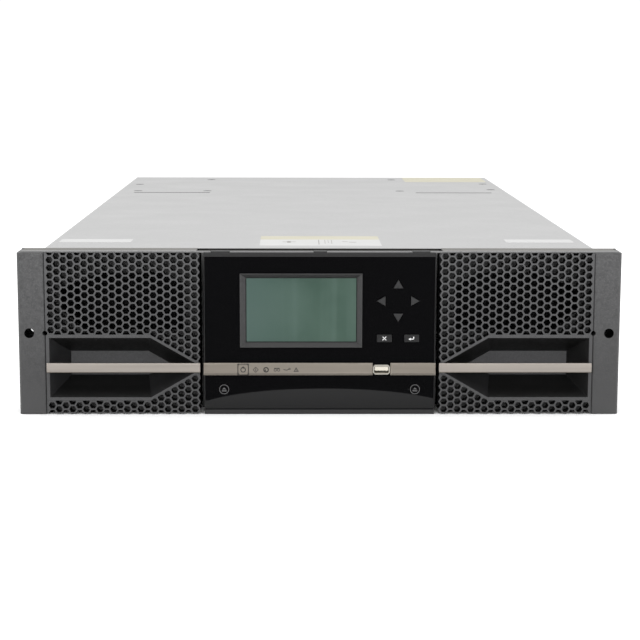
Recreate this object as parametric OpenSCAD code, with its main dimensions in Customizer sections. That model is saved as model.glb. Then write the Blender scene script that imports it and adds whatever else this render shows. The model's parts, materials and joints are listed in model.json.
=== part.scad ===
// Three-unit rack tape library: two slide-out cartridge magazines, a centre
// operator panel, a picker robot in the aisle and plug-in drives, power
// supplies and controller at the back.
// +X is to the right seen from the front, +Y runs back, +Z is up.  Inside the
// modules Y is counted from the front face of the bezels; set_back() moves a
// piece from there to the part's origin, in the middle of the footprint.

/* [Case] */
// Width over the rack ears
rack_w = 482.6; // [482.6:0.1:483]
// Height over the front lip
case_h = 132.4; // [132:0.1:133]
// Depth from the handle bars to the rear pull handles
overall_depth = 873; // [871:1:880]
// Width of the sheet-metal case
case_w = 446.4; // [445:0.2:447]
// Thickness of the case sheet
sheet_t = 1.2; // [1:0.1:1.4]
// Front of the rack flange, behind the bezel face
flange_y = 28; // [27:0.5:29]
// Back of the case, behind the bezel face
case_back_y = 837; // [830:1:840]

/* [Honeycomb bezels] */
// Thickness of the honeycomb
comb_depth = 10; // [8:0.5:12]
// Height from cell to cell in a column
cell_pitch = 6.28; // [6.2:0.02:6.4]
// Distance from column to column
cell_columns_pitch = 5.479; // [5.45:0.001:5.5]
// Corner radius of a cell's opening
cell_r = 2.9; // [2.6:0.05:3]
// Number of columns in a bezel
cell_columns = 22; // [20:1:22]

/* [Handles] */
// Depth of the handle recess
recess_depth = 23; // [20:0.5:23]
// How far the recess closes in on each side
recess_draft = 14.4; // [12:0.2:15]
// Height of the handle bar
bar_h = 7.7; // [7:0.1:9]

/* [Magazines] */
// Cartridge levels in a magazine
levels = 4; // [4:1:4]
// Cartridge columns in a magazine
columns = 5; // [5:1:5]
// Height from level to level
level_pitch = 27; // [26:0.5:27]
// Distance from column to column
column_pitch = 109.4; // [109:0.1:109.4]

/* [Operator panel] */
// Half width of the operator panel
panel_half_w = 92.7; // [92:0.1:93]
// Travel of a key
key_travel = 0.8; // [0.5:0.1:1]

/* [Hidden] */
eps = 0.02;
$fn = 48;
nose = 2;                             // bars and strip in front of the bezel face
face_y = -overall_depth / 2 + nose;   // bezel face in the part's frame
rear_reach = overall_depth - nose - case_back_y;

// case
case_top = 131.4;
lip_t = 1.2;
lip_edge_y = 6.5;                     // back of the raised front edge of the lip
lip_centre_y = 4.6;                   // the same over the operator panel
lip_floor_z = 131.7;                  // sheet behind the raised edge
bridge_z1 = 128;                      // flange top behind the operator panel
notch_half_w = 99;
side_x = case_w / 2 - sheet_t;        // outside of the tray's side walls
inside_x = side_x - sheet_t;
roof_z = case_top - sheet_t;          // underside of the top cover
cover_front_y = 30.4;
flange_t = 1.6;
flange_back_y = flange_y + flange_t;
screw_z = 66.3;                       // middle rack hole
rack_screw_x = 232.55;
rack_hole_r = 3.4;

// ear caps
ear_in_x = 219.9;
ear_wall = 2.4;
ear_z0 = 0.3;
ear_z1 = 131.2;
ear_bore_r = 3.9;
release_hole_x = 220;
release_hole_r = 2;

// bezels
bezel_out_x = 219.5;
bezel_z0 = 0.9;
bezel_z1 = 131.1;
first_cell_x = 215.3;
upper_cell_z = 62.56;                 // one cell centre of the field above the recess
lower_cell_z = 7.45;                  // one cell centre of the field below it
wall_out = (cell_pitch / 2 + (cell_pitch / 2 - cell_r * cos(30))) / cos(30);
recess_mid_z = 38.3;
recess_half_h = 24.25;
recess_out_x = 216.8;
recess_tip_x = 93.5;
rim_band = 2.7;
rim_slant = 2;
bezel_in_x = 96.6;
backing_t = 1.5;
pocket_wall = 1.2;
pocket_back_y = recess_depth + pocket_wall;
bar_z0 = recess_mid_z - bar_h / 2;

// magazines
mag_in_x = 97;
mag_out_x = 217;
mag_z0 = 3.5;
mag_z1 = 126;
mag_wall = 2;
mag_front_y = pocket_back_y;
column_y0 = 40;
divider_t = 2.4;
mag_back_y = column_y0 + columns * column_pitch + divider_t + mag_wall;
divider_in_x = 104;
rail_reach = 4;
rail_t = 2;
first_level_z = 12;
magazine_travel = 595;

// bulkhead and rear bays
bulkhead_y = 593;
aisle_half_w = 93;
drive_half_w = 77;
drive_h = 40.4;
drive_pitch = 42;
drive_z0 = 2.4;
drive_front_y = 625;
drives = 3;
psu_x0 = 118;
psu_w = 76;
psu_h = 40;
psu_front_y = 650;
psu_z = [14, 66];
controller_x0 = -206;
controller_w = 112;
controller_z = 34;
controller_h = 36;

// operator panel
panel_z0 = 0.3;
panel_z1 = 131.1;
panel_back_y = 28;                    // the housing stands on the flange
fascia_y0 = 0.6;
fascia_y1 = 4;
fascia_z0 = 4.5;
fascia_foot_gap = 0.6;                // dark joint under the fascia
fascia_z1 = 127.95;
fascia_half_w = panel_half_w - 0.6;
display_x = [-64, 34];
display_z = [54.8, 114.6];
screen_x = [-59.4, 29.9];
screen_z = [58.6, 111.2];
arrow_x = 62.8;
arrow_z = 92.5;
arrow_reach = 12.5;
arrow_r = 4.4;
small_key_x = [51.9, 73.85];
small_key_z = 62.2;
small_key_size = [12, 6];
strip_z = [32.2, 42.2];
strip_half_w = 93.3;
power_key_x = -61.5;
power_key_z = 37.2;
power_key_size = [7.8, 8];
usb_x = 49.75;
usb_z = 36.8;
usb_size = [13.6, 7.6];
usb_cut = 1.6;
usb_wall = 0.8;
usb_tongue = [11, 3.2];
usb_gap = 7.1;                        // half of the gap in the trim strip
strip_bevel = 1;
release_key_x = 76.9;
release_key_z = 20.6;
release_key_r = 4.2;
key_gap = 0.3;
board_y = 16;
switch_y = 13;                        // front of the key switches
collar = 1;                           // how far a key's collar stands out round its cap
clip_x = [-79.5, 0.3, 81];
clip_w = [15, 10.5, 14];
clip_depth = 12;
clip_seat_z = 131.8;                  // top of the lip under the clips
panel_step = [14, 122];               // back corner of the housing's top

// robot
post_x = 88;
post_size = [6, 7];
post_y = [31, 597];
tooth_pitch = 6;
tooth_depth = 1.3;
motor_r = 4.2;
beam_x = [78, 84];
beam_z = [3, 9];
lift_travel = 81;
carriage_len = 124;
picker_y = column_y0 + divider_t + (column_pitch - divider_t) / 2;
picker_z = 12.2;
hub_r = 6;
picker_half_len = 38;
picker_half_w = 54.8;

// ---------- helpers ----------

// moves a piece from bezel-face coordinates to the part's frame
module set_back() translate([0, face_y, 0]) children();

// box from its low corner to its high corner
module block(low, high) translate(low) cube(high - low);

// plate whose outline is drawn in X and Z, from depth y0 to y1
module plate(y0, y1) translate([0, y1, 0]) rotate([90, 0, 0]) linear_extrude(y1 - y0) children();

// bar whose section is drawn in Y and Z, from x0 to x1
module bar(x0, x1) translate([x0, 0, 0]) rotate([90, 0, 90]) linear_extrude(x1 - x0) children();

// round rod or hole along Y
module rod_y(x, z, y0, y1, r) translate([x, y1, z]) rotate([90, 0, 0]) cylinder(h = y1 - y0, r = r);

// rectangle from corner to corner
module rect(a, b) translate(a) square(b - a);

// rectangle with cut corners, centred on [x, z]
module cut_rect(x, z, size, cut) translate([x, z]) polygon([
    [size.x / 2 - cut, size.y / 2], [size.x / 2, size.y / 2 - cut],
    [size.x / 2, -size.y / 2 + cut], [size.x / 2 - cut, -size.y / 2],
    [-size.x / 2 + cut, -size.y / 2], [-size.x / 2, -size.y / 2 + cut],
    [-size.x / 2, size.y / 2 - cut], [-size.x / 2 + cut, size.y / 2]]);

// solid between two outlines of as many points, at depths y0 and y1
module taper(front, back, y0, y1) {
    n = len(front);
    polyhedron(
        points = concat([for (p = front) [p.x, y0, p.y]], [for (p = back) [p.x, y1, p.y]]),
        faces = concat(
            [[for (i = [n - 1:-1:0]) i], [for (i = [n:2 * n - 1]) i]],
            [for (i = [0:n - 1]) [i, (i + 1) % n, n + (i + 1) % n, n + i]]));
}

// ---------- case ----------

module base_tray() color("silver") set_back() {
    block([-side_x, flange_back_y, 0], [side_x, case_back_y - sheet_t, sheet_t]);
    for (s = [-1, 1])
        block([s * (side_x + inside_x) / 2 - sheet_t / 2, flange_back_y, sheet_t - eps],
              [s * (side_x + inside_x) / 2 + sheet_t / 2, case_back_y - sheet_t, roof_z]);
}

module front_flange() color("gainsboro") set_back() {
    difference() {
        plate(flange_y, flange_back_y) difference() {
            rect([-rack_w / 2, 0.5], [rack_w / 2, lip_floor_z]);
            rect([-notch_half_w, bridge_z1], [notch_half_w, case_h]);
        }
        plate(flange_y - 1, flange_back_y + 1) {
            for (s = [-1, 1])
                translate([s * (mag_in_x + mag_out_x) / 2, 0])
                    rect([-(mag_out_x - mag_in_x) / 2 - 1, mag_z0 - 0.9],
                         [(mag_out_x - mag_in_x) / 2 + 1, mag_z1 + 2.5]);
            rect([-aisle_half_w + 2, 6], [aisle_half_w - 2, 125]);
        }
        for (s = [-1, 1])
            rod_y(s * rack_screw_x, screw_z, flange_y - 1, flange_back_y + 1, rack_hole_r);
    }
    difference() {
        union() {
            block([-rack_w / 2 + 2.5, 1.5, case_h - lip_t], [rack_w / 2 - 2.5, lip_edge_y, case_h]);
            block([-rack_w / 2 + 2.5, lip_edge_y - eps, case_h - lip_t],
                  [rack_w / 2 - 2.5, flange_y + eps, lip_floor_z]);
        }
        // open over the operator panel
        block([-notch_half_w, lip_centre_y, 0], [notch_half_w, flange_back_y, case_h + 1]);
        // seats for the panel's clips
        for (i = [0:2])
            block([clip_x[i] - clip_w[i] / 2 - 0.2, 0, clip_seat_z],
                  [clip_x[i] + clip_w[i] / 2 + 0.2, lip_centre_y + 1, case_h + 1]);
    }
}

module rear_panel() color("silver") set_back() difference() {
    plate(case_back_y - sheet_t, case_back_y) rect([-side_x, 0], [side_x, roof_z]);
    plate(case_back_y - 3, case_back_y + 1) {
        rect([-drive_half_w - 0.6, drive_z0 - 0.4],
             [drive_half_w + 0.6, drive_z0 + drives * drive_pitch - 1.2]);
        for (z = psu_z) rect([psu_x0 - 0.5, z - 0.5], [psu_x0 + psu_w + 0.5, z + psu_h + 0.5]);
        rect([controller_x0 - 0.5, controller_z - 0.5],
             [controller_x0 + controller_w + 0.5, controller_z + controller_h + 0.5]);
        // ventilation field above the controller
        for (i = [0:11], j = [0:4])
            translate([controller_x0 + 6 + i * 9, 84 + j * 9 + (i % 2) * 4.5]) circle(r = 3.4, $fn = 6);
    }
}

module bulkhead() color("silver") set_back() difference() {
    plate(bulkhead_y, bulkhead_y + sheet_t)
        rect([-inside_x, sheet_t], [inside_x, roof_z]);
    plate(bulkhead_y - 1, bulkhead_y + 2) {
        rect([-aisle_half_w, sheet_t + 1], [aisle_half_w, roof_z - 1]);
        for (s = [-1, 1], i = [0:8], j = [0:8])
            translate([s * (110 + i * 12), 18 + j * 12]) square(8, center = true);
    }
}

screw_spots = [[-202, 619], [-122, 619], [-209, 717], [-126, 797],
               [101, 619], [101, 797], [209, 728], [209, 640]];

module top_cover() color("gainsboro") set_back() difference() {
    union() {
        difference() {
            block([-case_w / 2, cover_front_y, roof_z], [case_w / 2, case_back_y, case_top]);
            // front edge, thinned from below
            bar(-inside_x, inside_x) polygon([
                [cover_front_y - 1, roof_z - 1], [cover_front_y - 1, case_top - 0.3],
                [cover_front_y, case_top - 0.3], [cover_front_y + 3, roof_z], [cover_front_y + 3, roof_z - 1]]);
        }
        for (s = [-1, 1])
            block([s * (case_w - sheet_t) / 2 - sheet_t / 2, cover_front_y, 100],
                  [s * (case_w - sheet_t) / 2 + sheet_t / 2, case_back_y, roof_z + eps]);
    }
    // shallow countersinks for the cover screws
    for (p = screw_spots)
        translate([p.x, p.y, case_top - 0.8]) cylinder(h = 0.9, r1 = 3.6, r2 = 5.2);
    // pressed lines ahead of the rear bays
    for (s = [-1, 1])
        block([s * 161 - 43.5, 592, case_top - 0.5], [s * 161 + 43.5, 593.2, case_top + 1]);
}

module cover_screws() color("gray") set_back() for (p = screw_spots)
    translate([p.x, p.y, case_top - 0.8]) difference() {
        cylinder(h = 0.6, r = 3.2);
        for (a = [0, 90]) rotate(a) translate([-2, -0.35, 0.25]) cube([4, 0.7, 1]);
    }

module ear_cap(s) color("dimgray") set_back() mirror([s < 0 ? 1 : 0, 0, 0]) difference() {
    translate([0, 0, ear_z0]) linear_extrude(ear_z1 - ear_z0) polygon([
        [ear_in_x, flange_y], [ear_in_x, 0.9], [ear_in_x + 0.9, 0],
        [rack_w / 2 - 1.6, 0], [rack_w / 2, 1.6], [rack_w / 2, flange_y]]);
    difference() {
        block([ear_in_x + ear_wall, ear_wall, ear_z0 + ear_wall],
              [rack_w / 2 - ear_wall, flange_y + 1, ear_z1 - ear_wall]);
        rod_y(rack_screw_x, screw_z, 1, flange_y + 2, ear_bore_r + 2);
        // stiffening ribs
        for (z = [34, 98])
            block([ear_in_x, 1, z], [rack_w / 2, flange_y + 2, z + 2]);
    }
    rod_y(rack_screw_x, screw_z, -1, flange_y + 1, ear_bore_r);
    rod_y(release_hole_x, screw_z, -1, flange_y + 1, release_hole_r);
}
module left_ear_cap() ear_cap(-1);
module right_ear_cap() ear_cap(1);

module guide_rails(s) color("darkgray") set_back() mirror([s < 0 ? 1 : 0, 0, 0]) {
    for (x = [100, 205])
        block([x, flange_back_y + 4, sheet_t], [x + 8, bulkhead_y - 1, mag_z0 - 0.1]);
    for (z = [24, 112])
        block([mag_out_x + 0.4, flange_back_y + 4, z], [inside_x, bulkhead_y - 1, z + 3]);
}
module left_guide_rails() guide_rails(-1);
module right_guide_rails() guide_rails(1);

// ---------- magazines ----------

// outline of the handle recess, moved in by inset
function recess_outline(inset) =
    let (half = recess_half_h - inset, tip = recess_tip_x + inset / sin(30),
         shoulder = tip + half / tan(30), out = recess_out_x - inset)
    [[out, recess_mid_z + half], [shoulder, recess_mid_z + half], [tip, recess_mid_z],
     [shoulder, recess_mid_z - half], [out, recess_mid_z - half]];

// outside of the rim round the recess
rim_half = recess_half_h + rim_band;
rim_tip = recess_tip_x - rim_slant / sin(30);
rim_shoulder = rim_tip + rim_half / tan(30);
rim_outline = [[bezel_out_x, recess_mid_z + rim_half], [rim_shoulder, recess_mid_z + rim_half],
               [rim_tip, recess_mid_z], [rim_shoulder, recess_mid_z - rim_half],
               [bezel_out_x, recess_mid_z - rim_half]];
// half height of the rim at a distance x from the middle of the part
function rim_reach(x) = min(rim_half, (x - rim_tip) * tan(30));

// inner edge of the honeycomb follows the last column of cells
last_cell_x = first_cell_x - (cell_columns - 1) * cell_columns_pitch;
edge_peak_x = last_cell_x - wall_out;
edge_notch_x = last_cell_x - wall_out + cell_pitch / 2 * tan(30);
function edge(z0, count) = [for (j = [count - 1:-1:0]) let (z = z0 + j * cell_pitch)
    each [[edge_peak_x, z], [edge_notch_x, z - cell_pitch / 2]]];
upper_edge_z = upper_cell_z - 2.5 * cell_pitch;
lower_edge_z = lower_cell_z - cell_pitch / 2;
bezel_outline = concat(
    [[bezel_out_x, bezel_z0], [bezel_out_x, bezel_z1], [edge_notch_x, bezel_z1]],
    edge(upper_edge_z, 14), edge(lower_edge_z, 5), [[edge_notch_x, bezel_z0]]);

module cell_field(z0, above) for (c = [0:cell_columns - 1]) {
    x = first_cell_x - c * cell_columns_pitch;
    reach = rim_reach(x) - 1.2;
    for (j = [-9:20]) {
        z = z0 + (j + (c % 2) / 2) * cell_pitch;
        off = (z - recess_mid_z) * above;
        if (off > reach && z > -1 && z < bezel_z1 + 2)
            translate([x, z]) circle(r = cell_r, $fn = 6);
    }
}

module bezel(s) color("dimgray") set_back() mirror([s < 0 ? 1 : 0, 0, 0])
    plate(0, comb_depth) difference() {
        polygon(bezel_outline);
        polygon(rim_outline);
        // the recess moulding reaches the outer edge
        rect([bezel_out_x - 1, recess_mid_z - rim_half], [bezel_out_x + 1, recess_mid_z + rim_half]);
        cell_field(upper_cell_z, 1);
        cell_field(lower_cell_z, -1);
        translate([release_hole_x, screw_z]) circle(r = release_hole_r, $fn = 12);
    }
module left_bezel() bezel(-1);
module right_bezel() bezel(1);

vent_outline = [[110, 68], [110, 104], [126, 114], [176, 114], [207, 101], [207, 83], [188, 68]];

module bezel_backing(s) color([0.2, 0.2, 0.2]) set_back() mirror([s < 0 ? 1 : 0, 0, 0]) {
    plate(comb_depth, comb_depth + backing_t) difference() {
        rect([edge_notch_x + 0.3, bezel_z0 + 0.4], [bezel_out_x - 0.2, bezel_z1 - 0.2]);
        polygon(recess_outline(4.6));
        polygon(vent_outline);
    }
    // outer skirt and standoffs that reach the magazine's front wall
    block([bezel_out_x - 2.2, comb_depth + backing_t - eps, bezel_z0 + 0.4],
          [bezel_out_x - 0.2, mag_front_y, bezel_z1 - 0.2]);
    for (x = [104, 210], z = [8, 122])
        rod_y(x, z, comb_depth + backing_t - eps, mag_front_y, 3.2);
}
module left_bezel_backing() bezel_backing(-1);
module right_bezel_backing() bezel_backing(1);

module handle_pocket(s) color([0.15, 0.15, 0.15]) set_back() mirror([s < 0 ? 1 : 0, 0, 0])
    intersection() {
        difference() {
            union() {
                plate(0, comb_depth) difference() {
                    polygon(rim_outline);
                    translate([release_hole_x, screw_z]) circle(r = release_hole_r, $fn = 12);
                }
                taper(recess_outline(-pocket_wall + 0.1), recess_outline(recess_draft - pocket_wall),
                      0, pocket_back_y);
            }
            taper(recess_outline(-recess_draft / recess_depth), recess_outline(recess_draft),
                  -1, recess_depth);
        }
        block([bezel_in_x, -2, 0], [250, 40, 100]);
    }
module left_handle_pocket() handle_pocket(-1);
module right_handle_pocket() handle_pocket(1);

module handle_bar(s) color("tan") set_back() mirror([s < 0 ? 1 : 0, 0, 0]) {
    bar(bezel_in_x - 0.6, bezel_out_x - 0.5) polygon([
        [0, bar_z0], [-nose + 0.6, bar_z0], [-nose, bar_z0 + 0.8],
        [-nose, bar_z0 + bar_h - 0.5], [-nose + 0.5, bar_z0 + bar_h], [0, bar_z0 + bar_h]]);
    // grip rib that stiffens the bar inside the recess
    bar(114, 211) polygon([
        [-eps, bar_z0 + 0.6], [5, bar_z0 + 1.4], [6, bar_z0 + 2.4],
        [6, bar_z0 + bar_h - 2.4], [5, bar_z0 + bar_h - 1.4], [-eps, bar_z0 + bar_h - 0.6]]);
}
module left_handle_bar() handle_bar(-1);
module right_handle_bar() handle_bar(1);

module magazine_tray(s) color("slategray") set_back() mirror([s < 0 ? 1 : 0, 0, 0]) {
    block([mag_in_x, mag_front_y, mag_z0], [mag_out_x, mag_back_y, mag_z0 + mag_wall]);
    block([mag_out_x - mag_wall, mag_front_y, mag_z0], [mag_out_x, mag_back_y, mag_z1]);
    // front wall, open where the air comes in
    plate(mag_front_y, mag_front_y + mag_wall) difference() {
        rect([mag_in_x, mag_z0], [mag_out_x, mag_z1]);
        rect([112, 70], [200, 112]);
    }
    plate(mag_back_y - mag_wall, mag_back_y) rect([mag_in_x, mag_z0], [mag_out_x, mag_z1]);
}
module left_magazine_tray() magazine_tray(-1);
module right_magazine_tray() magazine_tray(1);

function divider_y(i) = column_y0 + i * column_pitch;

module magazine_dividers(s) color("darkslategray") set_back() mirror([s < 0 ? 1 : 0, 0, 0])
    for (i = [0:columns])
        bar(divider_in_x, mag_out_x - mag_wall)
            rect([divider_y(i), mag_z0 + mag_wall], [divider_y(i) + divider_t, mag_z1 - 2]);
module left_magazine_dividers() magazine_dividers(-1);
module right_magazine_dividers() magazine_dividers(1);

// ledges that a cartridge stands on, one pair for each slot
module cartridge_rails(s) color("slategray") set_back() mirror([s < 0 ? 1 : 0, 0, 0])
    for (i = [0:columns - 1], k = [0:levels - 1]) {
        z = first_level_z + k * level_pitch;
        for (y = [divider_y(i) + divider_t, divider_y(i + 1) - rail_reach])
            block([divider_in_x, y, z - rail_t], [mag_out_x - mag_wall, y + rail_reach, z]);
    }
module left_cartridge_rails() cartridge_rails(-1);
module right_cartridge_rails() cartridge_rails(1);

// ---------- operator panel ----------

module key_outlines(grow) {
    for (a = [0:90:270])
        translate([arrow_x + arrow_reach * cos(a), arrow_z + arrow_reach * sin(a)])
            rotate(a) circle(r = arrow_r + 2 * grow, $fn = 3);
    for (x = small_key_x)
        translate([x, small_key_z]) square([small_key_size.x + 2 * grow, small_key_size.y + 2 * grow],
                                           center = true);
}

module panel_housing() color([0.25, 0.25, 0.26]) set_back() {
    difference() {
        block([-panel_half_w, 0, panel_z0], [panel_half_w, panel_back_y, panel_z1]);
        block([-fascia_half_w - 0.05, -1, fascia_z0 - fascia_foot_gap],
              [fascia_half_w + 0.05, fascia_y1, fascia_z1 + 0.05]);
        block([-panel_half_w + 3, fascia_y1 - eps, 8],
              [panel_half_w - 3, panel_back_y - 2, panel_step.y - 2]);
        block([-panel_half_w - 1, panel_step.x, panel_step.y],
              [panel_half_w + 1, panel_back_y + 1, panel_z1 + 1]);
        // cable opening in the back
        block([-20, panel_back_y - 3, 60], [20, panel_back_y + 1, 84]);
    }
    // clips that hook over the lip
    for (i = [0:2]) bar(clip_x[i] - clip_w[i] / 2, clip_x[i] + clip_w[i] / 2) polygon([
        [0.4, panel_z1 - eps], [1.4, panel_z1 - eps], [1.4, clip_seat_z + 0.1],
        [lip_centre_y + 0.1, clip_seat_z + 0.1], [lip_centre_y + 0.1, panel_z1 - eps],
        [clip_depth, panel_z1 - eps], [clip_depth, case_h - 0.6], [clip_depth - 4, case_h],
        [0.9, case_h], [0.4, case_h - 0.5]]);
    // posts that carry the circuit board
    for (x = [-80, 80], z = [14, 112])
        rod_y(x, z, board_y + 1.6, panel_back_y - 2 + eps, 3);
}

module fascia() color([0.05, 0.05, 0.05]) set_back() difference() {
    plate(fascia_y0, fascia_y1) difference() {
        rect([-fascia_half_w, fascia_z0], [fascia_half_w, fascia_z1]);
        rect([display_x[0] + 1.5, display_z[0] + 1.5], [display_x[1] - 1.5, display_z[1] - 1.5]);
        key_outlines(key_gap);
        translate([power_key_x, power_key_z]) square(power_key_size + [0.5, 0.5], center = true);
        cut_rect(usb_x, usb_z, usb_size + [0.1, 0.1], usb_cut);
    }
    for (s = [-1, 1])
        rod_y(s * release_key_x, release_key_z, -1, fascia_y1 + 1, release_key_r + key_gap);
}

module display_frame() color([0.3, 0.3, 0.31]) set_back() difference() {
    union() {
        plate(-0.6, fascia_y0) rect([display_x[0], display_z[0]], [display_x[1], display_z[1]]);
        plate(fascia_y0 - eps, fascia_y1)
            rect([display_x[0] + 1.6, display_z[0] + 1.6], [display_x[1] - 1.6, display_z[1] - 1.6]);
    }
    taper([[display_x[0] + 0.6, display_z[0] + 0.6], [display_x[1] - 0.6, display_z[0] + 0.6],
           [display_x[1] - 0.6, display_z[1] - 0.6], [display_x[0] + 0.6, display_z[1] - 0.6]],
          [[screen_x[0], screen_z[0]], [screen_x[1], screen_z[0]],
           [screen_x[1], screen_z[1]], [screen_x[0], screen_z[1]]], -0.62, 2.4);
    plate(2.3, 5) rect([screen_x[0], screen_z[0]], [screen_x[1], screen_z[1]]);
}

module display_screen() color([0.35, 0.45, 0.4]) set_back() {
    plate(2.6, fascia_y1 + eps) rect([screen_x[0] + 0.1, screen_z[0] + 0.1],
                                     [screen_x[1] - 0.1, screen_z[1] - 0.1]);
    plate(fascia_y1, 9) rect([display_x[0] + 1.6, display_z[0] + 1.6],
                                   [display_x[1] - 1.6, display_z[1] - 1.6]);
}

strip_section = [[0, strip_z[0]], [-0.6, strip_z[0]], [-nose, strip_z[0] + 1.9],
                 [-nose, strip_z[1] - 0.5], [-nose + 0.6, strip_z[1]], [0, strip_z[1]]];

module trim_strip() color("tan") set_back() difference() {
    union() {
        bar(-strip_half_w, strip_half_w) polygon(strip_section);
        block([-fascia_half_w, -eps, strip_z[0]], [fascia_half_w, fascia_y0, strip_z[1]]);
    }
    plate(-nose - 1, fascia_y0 + 1)
        translate([power_key_x, power_key_z]) square(power_key_size + [0.5, 0.5], center = true);
    translate([0, -nose, strip_z[0] - 1]) linear_extrude(strip_z[1] - strip_z[0] + 2) {
        // gap for the data port
        translate([usb_x, 0]) polygon([
            [-usb_gap - strip_bevel - 1, -1], [usb_gap + strip_bevel + 1, -1], [usb_gap, strip_bevel],
            [usb_gap, nose + 1], [-usb_gap, nose + 1], [-usb_gap, strip_bevel]]);
        // slanted ends
        for (s = [-1, 1]) polygon([
            [s * (strip_half_w - strip_bevel - 1), -1], [s * (strip_half_w + 1), -1],
            [s * (strip_half_w + 1), strip_bevel + 1]]);
    }
}

module control_board() color("darkgreen") set_back() {
    plate(board_y, board_y + 1.6) rect([-86, 10], [86, 117]);
    // controller chips and cable socket
    for (p = [[-50, 30, 18], [-20, 28, 12], [10, 24, 14]])
        translate([p.x, board_y - 1.6, p.y]) cube([p.z, 1.62, p.z]);
    block([-15, board_y + 1.58, 66], [15, panel_back_y - 3, 78]);
    // key switches
    for (a = [0:90:270])
        rod_y(arrow_x + arrow_reach * cos(a), arrow_z + arrow_reach * sin(a), switch_y, board_y + eps, 2);
    for (x = small_key_x) rod_y(x, small_key_z, switch_y, board_y + eps, 2);
    rod_y(power_key_x, power_key_z, switch_y, board_y + eps, 2);
    for (s = [-1, 1]) rod_y(s * release_key_x, release_key_z, switch_y, board_y + eps, 2);
}

module usb_port() color("lightgray") set_back() {
    difference() {
        plate(-1.4, board_y) cut_rect(usb_x, usb_z, usb_size, usb_cut);
        plate(-2, board_y - 1)
            cut_rect(usb_x, usb_z, usb_size - 2 * [usb_wall, usb_wall], usb_cut - usb_wall);
    }
    // tongue, in the upper half of the mouth
    block([usb_x - usb_tongue.x / 2, -0.9, usb_z - 0.6],
          [usb_x + usb_tongue.x / 2, board_y - 1 + eps, usb_z - 0.6 + usb_tongue.y]);
    // contact springs below it
    for (dx = [-3.9, -1.3, 1.3, 3.9])
        block([usb_x + dx - 0.6, -0.2, usb_z - 1.1], [usb_x + dx + 0.6, board_y - 2, usb_z - 0.6 + eps]);
}

// key with a raised cap, a stop collar behind the fascia and a stem to its switch
module key(x, z, cap_y) {
    plate(cap_y, fascia_y1 + 0.1) translate([x, z]) children(0);
    plate(fascia_y1 + 0.05, fascia_y1 + 1.2) translate([x, z]) children(1);
    rod_y(x, z, fascia_y1 + 1.2 - eps, switch_y - key_travel - 0.1, 1.6);
}

module arrow_key(angle) color("gray") set_back()
    key(arrow_x + arrow_reach * cos(angle), arrow_z + arrow_reach * sin(angle), -0.4) {
        rotate(angle) circle(r = arrow_r, $fn = 3);
        rotate(angle) circle(r = arrow_r + 2 * collar, $fn = 3);
    }
module up_key() arrow_key(90);
module down_key() arrow_key(270);
module left_key() arrow_key(180);
module right_key() arrow_key(0);

module small_key(i) color([0.3, 0.3, 0.3]) set_back() key(small_key_x[i], small_key_z, -0.3) {
    cut_rect(0, 0, small_key_size, 0.5);
    square(small_key_size + 2 * [collar, collar], center = true);
}
module cancel_key() small_key(0);
module enter_key() small_key(1);

module power_key() color("tan") set_back() key(power_key_x, power_key_z, -nose) {
    cut_rect(0, 0, power_key_size, 0.9);
    square(power_key_size + 2 * [collar, collar], center = true);
}

module release_button(s) color([0.1, 0.1, 0.1]) set_back()
    key(s * release_key_x, release_key_z, 0) {
        circle(r = release_key_r);
        circle(r = release_key_r + collar);
    }
module left_release_button() release_button(-1);
module right_release_button() release_button(1);

// ---------- picker robot ----------

// posts with a toothed face towards the aisle
module rack_posts() color("lightgray") set_back()
    for (s = [-1, 1], y = post_y) difference() {
        block([s * post_x - post_size.x / 2, y, sheet_t], [s * post_x + post_size.x / 2, y + post_size.y, roof_z]);
        plate(y - 1, y + post_size.y + 1) for (z = [8:tooth_pitch:roof_z - 5])
            translate([s * (post_x - post_size.x / 2), z]) rotate(45)
                square(tooth_depth * sqrt(2), center = true);
    }

module lift_frame() color("darkgray") set_back() {
    y0 = post_y[0] + post_size.y + 1;
    y1 = post_y[1] - 1;
    for (s = [-1, 1])
        block([s * (beam_x[0] + beam_x[1]) / 2 - 3, y0, beam_z[0]],
              [s * (beam_x[0] + beam_x[1]) / 2 + 3, y1, beam_z[1]]);
    for (y = [y0, y1 - 6])
        block([-beam_x[0] - eps, y, beam_z[0]], [beam_x[0] + eps, y + 6, beam_z[1] - 3.2]);
    // guide shoes beside the posts
    for (s = [-1, 1], y = post_y)
        block([s * 82 - 2, y, beam_z[0]], [s * 82 + 2, y + post_size.y, beam_z[1]]);
    for (s = [-1, 1])
        block([s * 82 - 2, post_y[0], beam_z[0]], [s * 82 + 2, y0 + eps, beam_z[1]]);
    for (s = [-1, 1])
        block([s * 82 - 2, y1 - eps, beam_z[0]], [s * 82 + 2, post_y[1] + post_size.y, beam_z[1]]);
}

module picker_carriage() color("steelblue") set_back() difference() {
    translate([0, picker_y - carriage_len / 2, 0]) union() {
        block([-77.4, 0, 6.2], [77.4, carriage_len, 9.2]);
        for (s = [-1, 1])
            block([s * 79 - 5, 10, 9.15], [s * 79 + 5, carriage_len - 10, 11]);
        // travel motor and sensor housing in opposite corners
        translate([68, carriage_len - 4.6, 9.15]) cylinder(h = 17, r = motor_r);
        block([-74, 0, 9.15], [-62, 7.6, 22]);
    }
    translate([0, picker_y, 0]) cylinder(h = 20, r = hub_r + 0.05);
    for (s = [-1, 1])
        block([s * 45 - 18, picker_y + 28, 0], [s * 45 + 18, picker_y + 50, 20]);
}

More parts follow.
